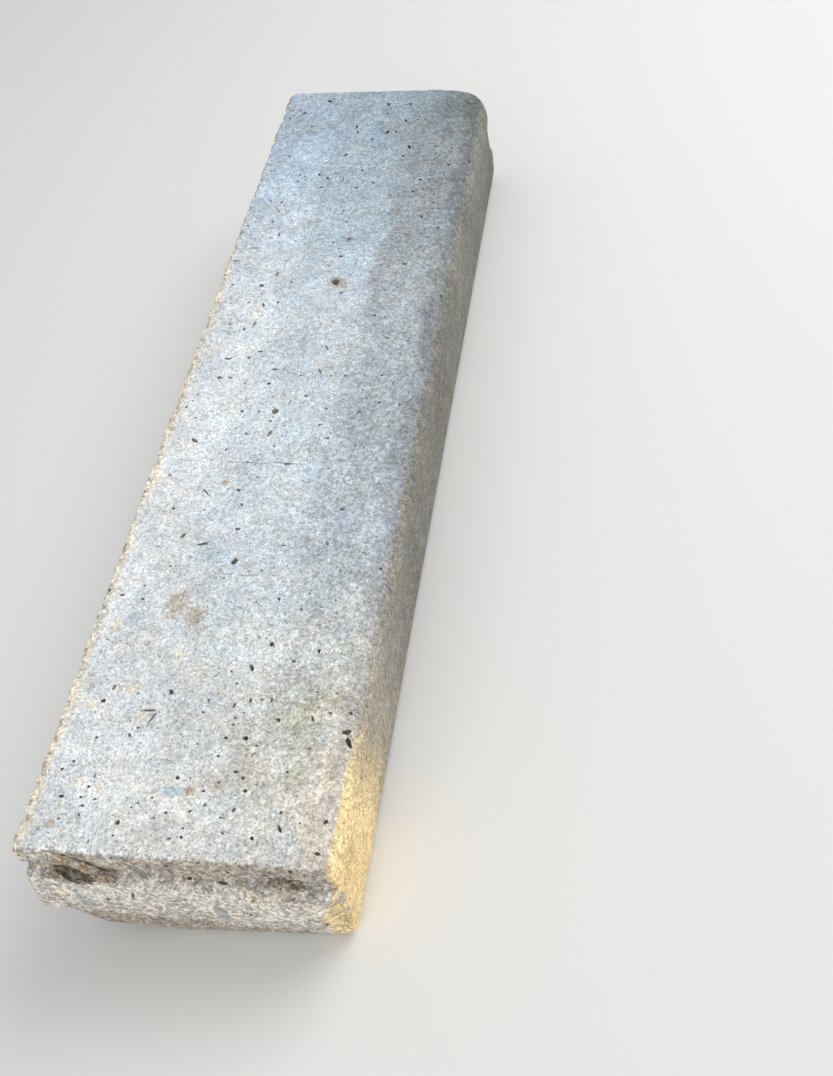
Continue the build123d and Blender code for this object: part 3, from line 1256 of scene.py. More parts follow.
@dataclass
class Painter:
    """Paints the marks on the stone, each as a share from 0 to 1 at every vertex.

    All places are in millimetres here, as in the tables.
    """

    sizes: SectionSizes
    mesh: bpy.types.Mesh
    patch_depth: float = 7.0
    soft_edge: float = 1.9

    def __post_init__(self) -> None:
        """Takes the vertices' places in the section, and a blank share of each mark."""
        self.points = points_of(self.mesh) / MM
        self.shares = {stain: np.zeros(len(self.points)) for stain in Stain}

    def paint(self) -> None:
        """Writes every mark into the mesh."""
        for patch in BACK_FACE_PATCHES:
            centre = (patch.across, patch.along, self.sizes.foot_thickness / MM)
            half_sizes = (patch.length / 2, patch.width / 2, self.patch_depth)
            self.dab(patch.stain, centre, half_sizes, patch.turn, patch.strength)
        for smear in END_SMEARS:
            centre = (smear.u, smear.y, smear.v)
            half_sizes = (smear.half_u, smear.half_y, smear.half_v)
            self.dab(smear.stain, centre, half_sizes, 0.0, smear.strength)
        self.end_dirt_and_shade()
        self.arris_dust()
        self.far_head_side_tint()
        for stain, share in self.shares.items():
            layer = self.mesh.attributes.new(stain.value, "FLOAT", "POINT")
            layer.data.foreach_set("value", share.astype(np.float32))

    def lay(self, stain: Stain, share: np.ndarray) -> None:
        """Raises a mark to a new share wherever it has less."""
        np.maximum(self.shares[stain], share, out=self.shares[stain])

    def dab(
        self, stain: Stain, centre: tuple[float, ...], half_sizes: tuple[float, ...],
        turn: float, strength: float,
    ) -> None:
        """Lays one soft-edged ellipsoid of a mark.

        Args:
            stain: The mark.
            centre: Its centre.
            half_sizes: Its half sizes.
            turn: Its turn in the back face's plane, in degrees.
            strength: Its greatest share.
        """
        u, y, v = (self.points - np.array(centre)).T
        c, s = math.cos(math.radians(turn)), math.sin(math.radians(turn))
        offset = np.array((u * c + y * s, y * c - u * s, v))
        away = np.linalg.norm(offset / np.array(half_sizes)[:, None], axis=0)
        self.lay(stain, strength * ramp(away, self.soft_edge, 0.0))

    def end_dirt_and_shade(self) -> None:
        """Dirt and painted shade on the near end: above the tongue, in its root, low down; and a
        lighter crest, partly a painted highlight.
        """
        _, y, v = self.points.T
        level = self.sizes.tongue_level / MM
        top_root = level + self.sizes.tongue.root / 2 / MM
        at_end = ramp(y, 2, 0) * ramp(v, 149.4, 147.8)
        above = ramp(v, top_root - 3, top_root + 1) * ramp(v, 149, 138)
        under_arris = ramp(v, 136, 144) * ramp(v, 149.5, 147)
        inner_flank = ramp(y, -9, -3) * ramp(v, level + 17, level + 21)
        below = ramp(v, level - 18, level - 25)
        low_band = ramp(v, 42, 20)
        # Darker bands: dirt, and painted shade under the top arris, in the tongue's root and below
        # the tongue.
        for strength, place in (
            (0.30, above), (0.36, under_arris), (0.62, inner_flank), (0.42, below),
            (0.76, low_band),
        ):
            self.lay(Stain.GRIME_AND_SHADE, strength * place * at_end)
        # The end sandier, and its crest lighter still as a painted highlight.
        self.lay(Stain.SANDY_AND_HIGHLIGHT, np.maximum(0.62 * ramp(y, -8, -11), 0.42 * at_end))

    def arris_dust(self) -> None:
        """Pale rubbed concrete along the arrises."""
        u, y, v = self.points.T
        patchy = 0.85 + 0.40 * noise_at(self.points, 50, 61.0)
        brow = ramp(v, 140, 147)
        foot = ramp(u, 16, 5) * ramp(v, 126, 142) * (0.35 + 0.65 * ramp(y, 800, 600))
        ends = np.maximum(ramp(y, 7, 1), ramp(y, 990, 997)) * brow
        self.lay(Stain.CREAM, np.maximum(0.82 * foot, 0.35 * ends) * patchy)

    def far_head_side_tint(self) -> None:
        """A greenish darker tint on the head side away from the near end, partly painted shade."""
        u, y, _ = self.points.T
        cloudy = 0.5 + 0.5 * noise_at(self.points, 50, 71.0, 2)
        self.lay(Stain.GREEN, 0.6 * ramp(u, 236, 246) * ramp(y, 130, 420) * cloudy)


Colour = tuple[float, float, float, float]
Tones = tuple[tuple[float, Colour], ...]
Span = tuple[float, float]
Socket = bpy.types.NodeSocket

# Stretches along the stone, in metres, over which the painted shade of the far part begins and the
# rust ends
FAR_SHADE_BEGINS: Span = (0.70, 0.84)
RUST_ENDS: Span = (0.84, 0.76)


def shade(red: float, green: float, blue: float) -> Colour:
    """An opaque colour, in the linear values that a shader takes."""
    return (red, green, blue, 1.0)


def tones(*stops: tuple[float, float, float, float]) -> Tones:
    """The stops of a colour ramp, each given by its place and its red, green and blue."""
    return tuple((place, shade(*colour)) for place, *colour in stops)


class NodeBench:
    """Lays out the nodes of one material, on the section's own coordinates."""

    dull_sheen: float = 0.25

    def __init__(self, name: str, place: Matrix) -> None:
        """Starts a material.

        Args:
            name: The material's name.
            place: The matrix that brings the section to its resting place.
        """
        self.material = bpy.data.materials.new(name)
        self.material.use_nodes = True
        self.tree = self.material.node_tree
        self.shader = self.tree.nodes["Principled BSDF"]
        back = place.inverted()
        mapping = self.node("ShaderNodeMapping", vector_type="POINT")
        mapping.inputs["Location"].default_value = back.to_translation()
        mapping.inputs["Rotation"].default_value = back.to_euler()
        self.feed(mapping.inputs["Vector"], self.node("ShaderNodeTexCoord").outputs["Object"])
        self.section = mapping.outputs["Vector"]
        split = self.node("ShaderNodeSeparateXYZ")
        self.feed(split.inputs[0], self.section)
        self.across, self.along, self.level = split.outputs

    def node(self, kind: str, **settings: object) -> bpy.types.Node:
        """Adds a node.

        Args:
            kind: Its type's name.
            settings: The node's own options.

        Returns:
            The node.
        """
        made = self.tree.nodes.new(kind)
        for key, value in settings.items():
            setattr(made, key, value)
        return made

    def feed(self, socket: Socket, value: object) -> None:
        """Links a socket to another node's output, or sets its value.

        Args:
            socket: The input.
            value: An output socket, or a plain value.
        """
        if isinstance(value, Socket):
            self.tree.links.new(value, socket)
        else:
            socket.default_value = value

    def reckon(self, operation: str, *values: object) -> Socket:
        """One step of arithmetic.

        Args:
            operation: The Math node's operation.
            values: The values or outputs that it takes.

        Returns:
            The result's output.
        """
        made = self.node("ShaderNodeMath", operation=operation)
        for socket, value in zip(made.inputs, values):
            self.feed(socket, value)
        return made.outputs[0]

    def add(self, first: object, second: object) -> Socket:
        """Two values together."""
        return self.reckon("ADD", first, second)

    def less(self, first: object, second: object) -> Socket:
        """The first value less the second."""
        return self.reckon("SUBTRACT", first, second)

    def most(self, *values: object) -> Socket:
        """The greatest of the values."""
        return functools.reduce(functools.partial(self.reckon, "MAXIMUM"), values)

    def least(self, *values: object) -> Socket:
        """The smallest of the values."""
        return functools.reduce(functools.partial(self.reckon, "MINIMUM"), values)

    def product(self, *values: object) -> Socket:
        """All of the values multiplied together."""
        return functools.reduce(functools.partial(self.reckon, "MULTIPLY"), values)

    def step(
        self, value: object, low: object, high: object, bottom: float = 0.0, top: float = 1.0,
    ) -> Socket:
        """A smooth step from one level to another.

        Args:
            value: The value that is looked up.
            low: Where the step begins.
            high: Where it ends.
            bottom: The result below low.
            top: The result above high.

        Returns:
            The result's output.
        """
        made = self.node("ShaderNodeMapRange", interpolation_type="SMOOTHSTEP")
        for socket, number in zip(made.inputs, (value, low, high, bottom, top)):
            self.feed(socket, number)
        return made.outputs[0]

    def mix(self, share: object, first: object, second: object, blend: str = "MIX") -> Socket:
        """Mixes two colours.

        Args:
            share: How much of the second is taken.
            first: The first colour or output.
            second: The second.
            blend: The Mix node's blend type.

        Returns:
            The mixed colour's output.
        """
        made = self.node("ShaderNodeMix", data_type="RGBA", blend_type=blend)
        self.feed(made.inputs["Factor"], share)
        self.feed(made.inputs[6], first)
        self.feed(made.inputs[7], second)
        return made.outputs[2]

    def dim(self, colour: object, factor: object) -> Socket:
        """A colour made darker or lighter by a factor.

        Args:
            colour: The colour's output.
            factor: The factor.

        Returns:
            The new colour's output.
        """
        made = self.node("ShaderNodeVectorMath", operation="SCALE")
        self.feed(made.inputs[0], colour)
        self.feed(made.inputs["Scale"], factor)
        return made.outputs[0]

    def noise(
        self, size: float, detail: float = 2.0, rough: float = 0.5, seed: float = 0.0,
    ) -> Socket:
        """Cloudy noise from 0 to 1, about 0.5 on average.

        Args:
            size: The size of its clouds, in metres.
            detail: How many finer layers it has.
            rough: How strong they are.
            seed: A number that sets it apart from others of its size.

        Returns:
            Its value's output.
        """
        made = self.node("ShaderNodeTexNoise", noise_dimensions="4D")
        settings = {
            "Vector": self.section, "W": seed, "Scale": 1.0 / size,
            "Detail": detail, "Roughness": rough,
        }
        for name, value in settings.items():
            self.feed(made.inputs[name], value)
        return made.outputs[0]

    def sway(self, reach: float, *noise: float) -> Socket:
        """Noise about 0 that moves an outline to and fro within a reach."""
        return self.product(self.less(self.noise(*noise), 0.5), reach)

    def grains(self, size: float) -> tuple[Socket, Socket, Socket, Socket]:
        """Scattered cells, such as sand grains.

        Args:
            size: The size of a cell, in metres.

        Returns:
            The distance from the middle of a cell, and three random values that each cell has.
        """
        made = self.node("ShaderNodeTexVoronoi", feature="F1")
        self.feed(made.inputs["Vector"], self.section)
        self.feed(made.inputs["Scale"], 1.0 / size)
        draws = self.node("ShaderNodeSeparateColor")
        self.feed(draws.inputs[0], made.outputs["Color"])
        return made.outputs["Distance"], *draws.outputs

    def ramp(self, value: object, stops: Tones) -> Socket:
        """A colour looked up along a value.

        Args:
            value: The value, from 0 to 1.
            stops: Each stop's place and its colour.

        Returns:
            The colour's output.
        """
        made = self.node("ShaderNodeValToRGB")
        elements = made.color_ramp.elements
        for element, (position, colour) in zip((elements[0], elements[1]), (stops[0], stops[-1])):
            element.position = position
            element.color = colour
        for position, colour in stops[1:-1]:
            elements.new(position).color = colour
        self.feed(made.inputs[0], value)
        return made.outputs[0]

    def painted(self, stain: Stain, size: float, edge: float = 0.16) -> Socket:
        """A painted mark, with its outline broken up by noise.

        Args:
            stain: The mark.
            size: The size of the breaks, in metres.
            edge: How soft its outline is.

        Returns:
            Its share's output, from 0 to 1.
        """
        mark = self.node("ShaderNodeAttribute", attribute_name=stain.value).outputs["Fac"]
        ragged = self.sway(1.3, size, 3.0, 0.65, 7.0)
        there = self.step(self.add(mark, ragged), 0.5 - edge, 0.5 + edge)
        specks = self.step(self.noise(0.0024, 2.0, 0.7, 8.0), 0.34, 0.56, 0.40, 1.0)
        return self.product(there, self.step(mark, 0.04, 0.35), specks)

    def bump(self, height: object, depth: float, strength: float = 1.0) -> None:
        """Gives the shader a relief.

        Args:
            height: The relief's height, from 0 to 1.
            depth: What a height of 1 stands for, in metres.
            strength: The Bump node's strength.
        """
        made = self.node("ShaderNodeBump")
        self.feed(made.inputs["Height"], height)
        self.feed(made.inputs["Distance"], depth)
        self.feed(made.inputs["Strength"], strength)
        self.feed(self.shader.inputs["Normal"], made.outputs[0])

    def finish(self, colour: object, roughness: object) -> bpy.types.Material:
        """Sets the shader's colour and roughness and gives the material.

        Args:
            colour: The base colour's output.
            roughness: The roughness, a value or an output.

        Returns:
            The material.
        """
        self.feed(self.shader.inputs["Base Color"], colour)
        self.feed(self.shader.inputs["Roughness"], roughness)
        self.feed(self.shader.inputs["Specular IOR Level"], self.dull_sheen)
        return self.material


@dataclass(frozen=True)
class WeatheredConcrete:
    """Cast concrete with sand and pinholes showing, painted sunlight at the near end, painted shade
    at the far one.

    The colour tables run along the stone, from its near end to its far one, in metres. A span says
    where one look turns into the next. Each hairline has its place along, where it begins and ends
    across, and its strength.
    """

    # The back face is lightest near the near end and grows darker and bluer towards the far end and
    # in the right strip: painted sunlight and painted shade over the concrete's own tone.
    left: Tones = tones(
        (0.00, 0.703, 0.727, 0.739), (0.58, 0.698, 0.743, 0.784), (0.74, 0.575, 0.651, 0.728),
        (0.84, 0.45, 0.556, 0.659), (0.94, 0.42, 0.505, 0.594),
    )
    middle: Tones = tones(
        (0.00, 0.7, 0.71, 0.704), (0.17, 0.657, 0.688, 0.699), (0.28, 0.594, 0.656, 0.704),
        (0.55, 0.594, 0.656, 0.71), (0.74, 0.416, 0.5, 0.572), (0.94, 0.332, 0.412, 0.482),
    )
    right: Tones = tones(
        (0.00, 0.682, 0.683, 0.661), (0.09, 0.649, 0.655, 0.627), (0.15, 0.583, 0.594, 0.57),
        (0.30, 0.45, 0.504, 0.551), (0.55, 0.445, 0.499, 0.546), (0.64, 0.376, 0.413, 0.441),
        (0.74, 0.315, 0.346, 0.377), (0.94, 0.211, 0.24, 0.26),
    )
    # Painted sunlight: the head side bright yellow near the near end; painted shade: dark beyond
    # it.
    head_side_sun_and_shade: Tones = tones(
        (0.00, 0.985, 0.76, 0.405), (0.08, 0.92, 0.71, 0.39), (0.14, 0.42, 0.385, 0.32),
        (0.30, 0.27, 0.26, 0.235), (1.00, 0.22, 0.225, 0.205),
    )
    end_plane: Colour = shade(0.675, 0.650, 0.605)
    # The head's back rounding darkens towards the far end as painted shade.
    rounding: Tones = tones(
        (0.00, 0.52, 0.48, 0.42), (0.15, 0.42, 0.41, 0.39), (0.30, 0.31, 0.33, 0.355),
        (0.62, 0.245, 0.26, 0.27), (0.90, 0.14, 0.152, 0.155),
    )
    turn_to_head: float = 0.2435
    hidden_faces: Colour = shade(0.50, 0.49, 0.46)
    rust: Colour = shade(0.30, 0.155, 0.065)
    pale_rust: Colour = shade(0.62, 0.41, 0.225)
    brown: Colour = shade(0.38, 0.285, 0.19)
    foot_rim: Colour = shade(0.80, 0.765, 0.68)
    beige_band: Colour = shade(0.66, 0.575, 0.485)
    cloudy: Colour = shade(0.42, 0.395, 0.315)
    cream: Colour = shade(0.80, 0.71, 0.54)
    cool: Colour = shade(0.44, 0.54, 0.62)
    green: Colour = shade(0.83, 0.82, 0.70)
    # Grime, also painted shade in the near end's recesses and under the tongue.
    grime: Colour = shade(0.27, 0.215, 0.15)
    # Sandy concrete, also a painted highlight on the tongue's crest.
    sandy: Colour = shade(0.74, 0.69, 0.60)
    pinhole: Colour = shade(0.12, 0.11, 0.095)
    cool_tint: Colour = shade(0.967, 1.0, 1.035)
    warm_tint: Colour = shade(1.035, 0.998, 0.945)
    left_to_middle: Span = (0.045, 0.100)
    soft_border: Span = (0.105, 0.215)
    band_across: Span = (0.208, 0.226)
    band_along: Span = (0.17, 0.11)
    rounding_across: Span = (0.222, 0.240)
    rim_across: Span = (0.0112, 0.0050)
    head_across: Span = (0.2405, 0.2455)
    shown_above: Span = (0.140, 0.146)
    border_widens: Span = (0.66, 0.50)
    hairline: Colour = shade(0.17, 0.16, 0.145)
    hairline_fade: float = 0.008
    hairlines: tuple[tuple[float, float, float, float], ...] = (
        (0.3848, 0.033, 0.153, 0.9), (0.257, 0.093, 0.155, 0.6),
        (0.2575, 0.021, 0.057, 0.5), (0.598, 0.057, 0.175, 0.4),
    )

    def material(self, place: Matrix) -> bpy.types.Material:
        """Makes the material.

        Args:
            place: The matrix that brings the section to its resting place.

        Returns:
            The material.
        """
        b = NodeBench("weathered_concrete", place)
        colour = self.ground(b)
        colour = b.dim(colour, self.mottling(b))
        warmth = b.step(b.noise(0.024, 5.0, 0.7, 9.0), 0.34, 0.66)
        tint = b.mix(warmth, self.cool_tint, self.warm_tint)
        colour = b.mix(1.0, colour, tint, "MULTIPLY")
        colour = self.stained(b, colour)
        sand, pits = self.sand(b), self.pinholes(b)
        colour = b.dim(colour, sand)
        colour = b.mix(b.product(pits, 0.85), colour, self.pinhole)
        colour = self.cracked(b, colour)
        grit, coarse = self.coarse_grit(b)
        # Painted highlight and painted shade on the coarse grit: its colour lighter where its bump
        # is high and darker where it is low.
        colour = b.mix(coarse, colour, b.dim(colour, b.step(grit, 0.35, 0.65, 0.53, 1.60)))
        self.relief(b, pits, b.product(grit, coarse))
        return b.finish(colour, b.step(b.noise(0.012), 0.3, 0.7, 0.80, 0.96))

    def ground(self, b: NodeBench) -> Socket:
        """The concrete's own colour, by face and by place on the stone.

        Args:
            b: The bench.

        Returns:
            The colour's output.
        """
        drift = b.sway(0.055, 0.045, 3.0, 0.6, 2.0)
        along = b.add(b.along, b.sway(0.10, 0.11, 2.0, 0.5, 4.0))
        across = b.add(b.across, drift)
        fine_drift = b.sway(0.016, 0.009, 3.0, 0.7, 5.0)
        edge = b.add(across, fine_drift)
        # Painted sunlight near the near end and painted shade towards the far end, from the tables.
        left, middle, right = (b.ramp(along, t) for t in (self.left, self.middle, self.right))
        back = b.mix(b.step(across, *self.left_to_middle), left, middle)
        begin = b.step(b.along, *self.border_widens, 0.158, 0.136)
        stop = b.step(b.along, *self.border_widens, 0.171, 0.190)
        crisp, soft = b.step(edge, begin, stop), b.step(across, *self.soft_border)
        border = b.mix(b.step(b.along, *FAR_SHADE_BEGINS), crisp, soft)
        back = b.mix(border, back, right)
        cloud = b.product(
            b.step(across, 0.122, 0.160), b.step(b.along, 0.172, 0.135),
            b.step(b.along, 0.040, 0.075), b.step(b.noise(0.028, 3.0, 0.65, 25.0), 0.38, 0.58),
            0.42,
        )
        back = b.mix(cloud, back, self.cloudy)
        band = b.product(b.step(edge, *self.band_across), b.step(along, *self.band_along), 0.62)
        back = b.mix(band, back, self.beige_band)
        # Painted shade on the head's back rounding.
        rounded = b.product(
            b.step(edge, *self.rounding_across), b.step(along, 0.05, 0.22, 0.45, 0.95),
        )
        back = b.mix(rounded, back, b.ramp(along, self.rounding))
        rim = b.product(b.step(edge, *self.rim_across), b.step(b.along, 0.80, 0.58, 0.10, 0.80))
        back = b.mix(rim, back, self.foot_rim)
        # The head side's painted sunlight and painted shade, also laid on the tongue's head end
        # past the slant.
        head = b.ramp(along, self.head_side_sun_and_shade)
        colour = b.mix(b.step(b.across, *self.head_across), back, head)
        low = b.step(b.level, *self.shown_above)
        low_or_head = b.most(low, b.step(b.across, 0.236, 0.240))
        colour = b.mix(low_or_head, self.hidden_faces, colour)
        turned = b.step(self.slant(b), -0.0010, 0.0020)
        end = b.mix(turned, self.end_plane, head)
        at_end = b.product(b.step(b.along, 0.0022, 0.0004), b.step(b.level, 0.1484, 0.1470))
        return b.mix(at_end, colour, end)

    def slant(self, b: NodeBench) -> Socket:
        """How far a point lies past the line where the near end turns into the head side.

        Args:
            b: The bench.

        Returns:
            The distance's output, in metres.
        """
        lean = b.product(b.less(0.118, b.level), 0.40)
        lean = b.least(b.most(lean, 0.0), 0.018)
        wander = b.sway(0.008, 0.012, 3.0, 0.6, 6.0)
        return b.less(b.add(b.add(b.across, lean), wander), self.turn_to_head)

    def mottling(self, b: NodeBench) -> Socket:
        """Broad and middling lighter and darker patches, as a factor about 1.

        Args:
            b: The bench.

        Returns:
            The factor's output.
        """
        broad = b.step(b.noise(0.090, 2.0, 0.5, 11.0), 0.30, 0.70, 0.90, 1.09)
        middle = b.step(b.noise(0.021, 4.0, 0.62, 12.0), 0.28, 0.72, 0.87, 1.12)
        small = b.step(b.noise(0.0052, 3.0, 0.7, 13.0), 0.28, 0.72, 0.87, 1.11)
        return b.product(broad, middle, small)

    def sand(self, b: NodeBench) -> Socket:
        """Sand grains in the surface, dark ones and pale ones, as a factor about 1.

        Args:
            b: The bench.

        Returns:
            The factor's output.
        """
        grit = b.step(b.noise(0.0021, 3.0, 0.8, 14.0), 0.32, 0.68, 0.66, 1.28)
        away, dark_draw, pale_draw, _ = b.grains(0.0018)
        middle_of_cell = b.step(away, 0.60, 0.32)
        dark = b.product(b.step(dark_draw, 0.80, 0.90), middle_of_cell, 0.45)
        pale = b.product(b.step(pale_draw, 0.80, 0.90), middle_of_cell, 0.30)
        grain = b.add(b.less(1.0, dark), pale)
        return b.product(grit, grain)

    def coarse_grit(self, b: NodeBench) -> tuple[Socket, Socket]:
        """The rougher skin of the near end, the foot's rim, the head's half and the far part.

        Args:
            b: The bench.

        Returns:
            The grit's height, and the share in which it shows.
        """
        near = b.step(b.along, 0.003, -0.0005)
        rim = b.product(b.step(b.across, 0.012, 0.004), 0.7)
        side = b.step(b.across, 0.130, 0.185, 0.14, 0.48)
        far = b.step(b.along, 0.55, 0.80, 0.0, 0.38)
        share = b.most(near, rim, side, far)
        return b.noise(0.0042, 4.0, 0.75, 15.0), share

    def pinholes(self, b: NodeBench) -> Socket:
        """Tiny open pores, too small to be cut into the mesh.

        Args:
            b: The bench.

        Returns:
            Their share's output, 1 in a pore.
        """
        shares = []
        for size, widest in ((0.0085, 0.105), (0.0210, 0.070)):
            away, _, _, draw = b.grains(size)
            radius = b.product(b.step(draw, 0.35, 1.0), widest)
            shares.append(b.step(b.less(radius, away), 0.0, 0.03))
        return b.most(*shares)

    def stained(self, b: NodeBench, colour: object) -> Socket:
        """The marks painted over the concrete.

        Args:
            b: The bench.
            colour: The colour beneath them.

        Returns:
            The colour's output.
        """
        flakes = b.step(b.noise(0.0034, 3.0, 0.7, 19.0), 0.38, 0.60)
        rust = b.mix(flakes, self.rust, self.pale_rust)
        layers = (
            (Stain.COOL, self.cool, 0.010, 0.75),
            # Sandy, with a painted highlight on the tongue's crest.
            (Stain.SANDY_AND_HIGHLIGHT, self.sandy, 0.009, 0.75),
            (Stain.CREAM, self.cream, 0.006, 0.80),
            # Grime, with painted shade in the near end's recesses.
            (Stain.GRIME_AND_SHADE, self.grime, 0.010, 0.75),
            (Stain.BROWN, self.brown, 0.006, 0.68),
            (Stain.RUST, rust, 0.0036, 0.90),
        )
        for stain, tint, size, strength in layers:
            share = b.product(b.painted(stain, size, 0.26), strength)
            colour = b.mix(share, colour, tint)
        # The green stain's share, which on the far head side is partly painted shade.
        darkening = b.product(b.painted(Stain.GREEN, 0.012, 0.35), 0.9)
        return b.mix(darkening, colour, self.green, "MULTIPLY")

    def cracked(self, b: NodeBench, colour: object) -> Socket:
        """Hairlines that run across the back face.

        Args:
            b: The bench.
            colour: The colour beneath them.

        Returns:
            The colour's output.
        """
        wander = b.sway(0.007, 0.020, 3.0, 0.6, 17.0)
        place = b.add(b.along, wander)
        broken = b.step(b.noise(0.007, 2.0, 0.6, 18.0), 0.40, 0.55)
        for y, start, stop, strength in self.hairlines:
            line = b.step(b.reckon("ABSOLUTE", b.less(place, y)), 0.0009, 0.0001)
            begun = b.step(b.across, start, start + self.hairline_fade)
            ended = b.step(b.across, stop, stop - self.hairline_fade)
            shown = b.product(line, begun, ended, broken, strength)
            colour = b.mix(shown, colour, self.hairline)
        return colour

    def relief(self, b: NodeBench, pits: object, grit: object) -> None:
        """The fine relief: float marks, sand, coarse grit and open pores.

        Args:
            b: The bench.
            pits: The pores' share.
            grit: The coarse grit's height.
        """
        fine = b.product(b.noise(0.0016, 3.0, 0.65, 21.0), 0.30)
        lumps = b.product(b.noise(0.0065, 3.0, 0.6, 22.0), 0.55)
        height = b.add(b.add(fine, lumps), b.product(grit, 0.9))
        height = b.less(height, b.product(pits, 0.9))
        b.bump(height, 0.0016, 0.9)


@dataclass(frozen=True)
class VoidWall:
    """The wall of an air hole: dirt and cement skin, darker deeper in and in the far part as
    painted shade.
    """

    # Dark dirt in the holes, deepened as painted shade.
    dark: Colour = shade(0.165, 0.155, 0.138)
    pale: Colour = shade(0.27, 0.25, 0.22)
    rust: Colour = shade(0.19, 0.12, 0.075)
    silted: Colour = shade(0.42, 0.41, 0.385)
    lip: Colour = shade(0.42, 0.425, 0.42)
    # Painted shade in the far part's holes.
    darkening: Colour = shade(0.065, 0.078, 0.095)

    def material(self, place: Matrix) -> bpy.types.Material:
        """Makes the material.

        Args:
            place: The matrix that brings the section to its resting place.

        Returns:
            The material.
        """
        b = NodeBench("void_wall", place)
        colour = b.mix(b.step(b.noise(0.028, 2.0, 0.5, 31.0), 0.35, 0.62), self.dark, self.pale)
        middle = b.product(b.step(b.along, 0.18, 0.30), b.step(b.along, *RUST_ENDS))
        silted = b.product(b.step(b.noise(0.034, 1.0, 0.5, 35.0), 0.36, 0.56), middle)
        colour = b.mix(silted, colour, self.silted)
        rusty = b.step(b.noise(0.045, 2.0, 0.5, 32.0), 0.54, 0.64)
        rusty = b.product(rusty, b.step(b.along, *RUST_ENDS), 0.5)
        colour = b.mix(rusty, colour, self.rust)
        # Lighter near the lip, so darker deeper in: painted shade.
        lip = b.product(b.step(b.level, 0.1472, 0.1495), b.step(b.along, 0.88, 0.74, 0.25, 0.75))
        colour = b.mix(lip, colour, self.lip)
        # Painted shade: the far part's holes darker and bluer.
        colour = b.mix(b.step(b.along, *FAR_SHADE_BEGINS, 0.0, 0.8), colour, self.darkening)
        crest_recess = b.product(
            b.step(b.along, -0.010, -0.012), b.step(b.across, 0.075, 0.080),
            b.step(b.across, 0.097, 0.092), 0.8,
        )
        colour = b.mix(crest_recess, colour, self.silted)
        colour = b.dim(colour, b.step(b.noise(0.002, 2.0, 0.6, 33.0), 0.25, 0.75, 0.75, 1.25))
        b.bump(b.noise(0.0015, 2.0, 0.6, 34.0), 0.0005, 0.7)
        return b.finish(colour, 0.95)


@dataclass(frozen=True)
class BrokenConcrete:
    """Broken concrete in chips and worn arrises: sandy paste with small stones in it."""

    paste: Colour = shade(0.66, 0.61, 0.52)
    dust: Colour = shade(0.45, 0.40, 0.33)
    grime: Colour = shade(0.150, 0.130, 0.088)
    rust: Colour = shade(0.46, 0.325, 0.18)
    stones: Tones = tones(
        (0.00, 0.30, 0.29, 0.27), (0.35, 0.52, 0.48, 0.42), (0.60, 0.44, 0.33, 0.22),
        (0.80, 0.62, 0.60, 0.56), (1.00, 0.36, 0.38, 0.40),
    )

    def material(self, place: Matrix) -> bpy.types.Material:
        """Makes the material.

        Args:
            place: The matrix that brings the section to its resting place.

        Returns:
            The material.
        """
        b = NodeBench("broken_concrete", place)
        colour = b.mix(b.step(b.noise(0.012, 3.0, 0.6, 41.0), 0.42, 0.66), self.paste, self.dust)
        away, draw, tone, _ = b.grains(0.0048)
        stone = b.product(b.step(away, 0.42, 0.34), b.step(draw, 0.52, 0.56))
        colour = b.mix(stone, colour, b.ramp(tone, self.stones))
        # Grime in the hollows at the tongue's root, partly painted shade.
        colour = b.mix(b.product(b.painted(Stain.GRIME_AND_SHADE, 0.006, 0.25), 0.85), colour, self.grime)
        colour = b.mix(b.product(b.painted(Stain.RUST, 0.004, 0.25), 0.75), colour, self.rust)
        colour = b.dim(colour, b.step(b.noise(0.0026, 4.0, 0.78, 42.0), 0.34, 0.66, 0.50, 1.42))
        relief = b.add(b.noise(0.0032, 3.0, 0.7, 43.0), b.product(stone, 0.5))
        b.bump(relief, 0.0014, 0.9)
        return b.finish(colour, 0.92)


@dataclass(frozen=True)
class PebbleSkin:
    """Small stones that stand out of the cement, each with a tone of its own."""

    rust: Colour = shade(0.44, 0.27, 0.13)
    tones: Tones = tones(
        (0.30, 0.30, 0.32, 0.34), (0.45, 0.42, 0.44, 0.46), (0.53, 0.52, 0.50, 0.46),
        (0.60, 0.36, 0.35, 0.33), (0.72, 0.58, 0.59, 0.59),
    )

    def material(self, place: Matrix) -> bpy.types.Material:
        """Makes the material.

        Args:
            place: The matrix that brings the section to its resting place.

        Returns:
            The material.
        """
        b = NodeBench("pebble_skin", place)
        colour = b.ramp(b.noise(0.034, 1.0, 0.5, 51.0), self.tones)
        colour = b.mix(b.product(b.painted(Stain.RUST, 0.004, 0.25), 0.75), colour, self.rust)
        colour = b.dim(colour, b.step(b.noise(0.003, 3.0, 0.6, 52.0), 0.30, 0.70, 0.72, 1.24))
        b.bump(b.noise(0.0022, 2.0, 0.6, 53.0), 0.0004, 0.6)
        return b.finish(colour, 0.7)


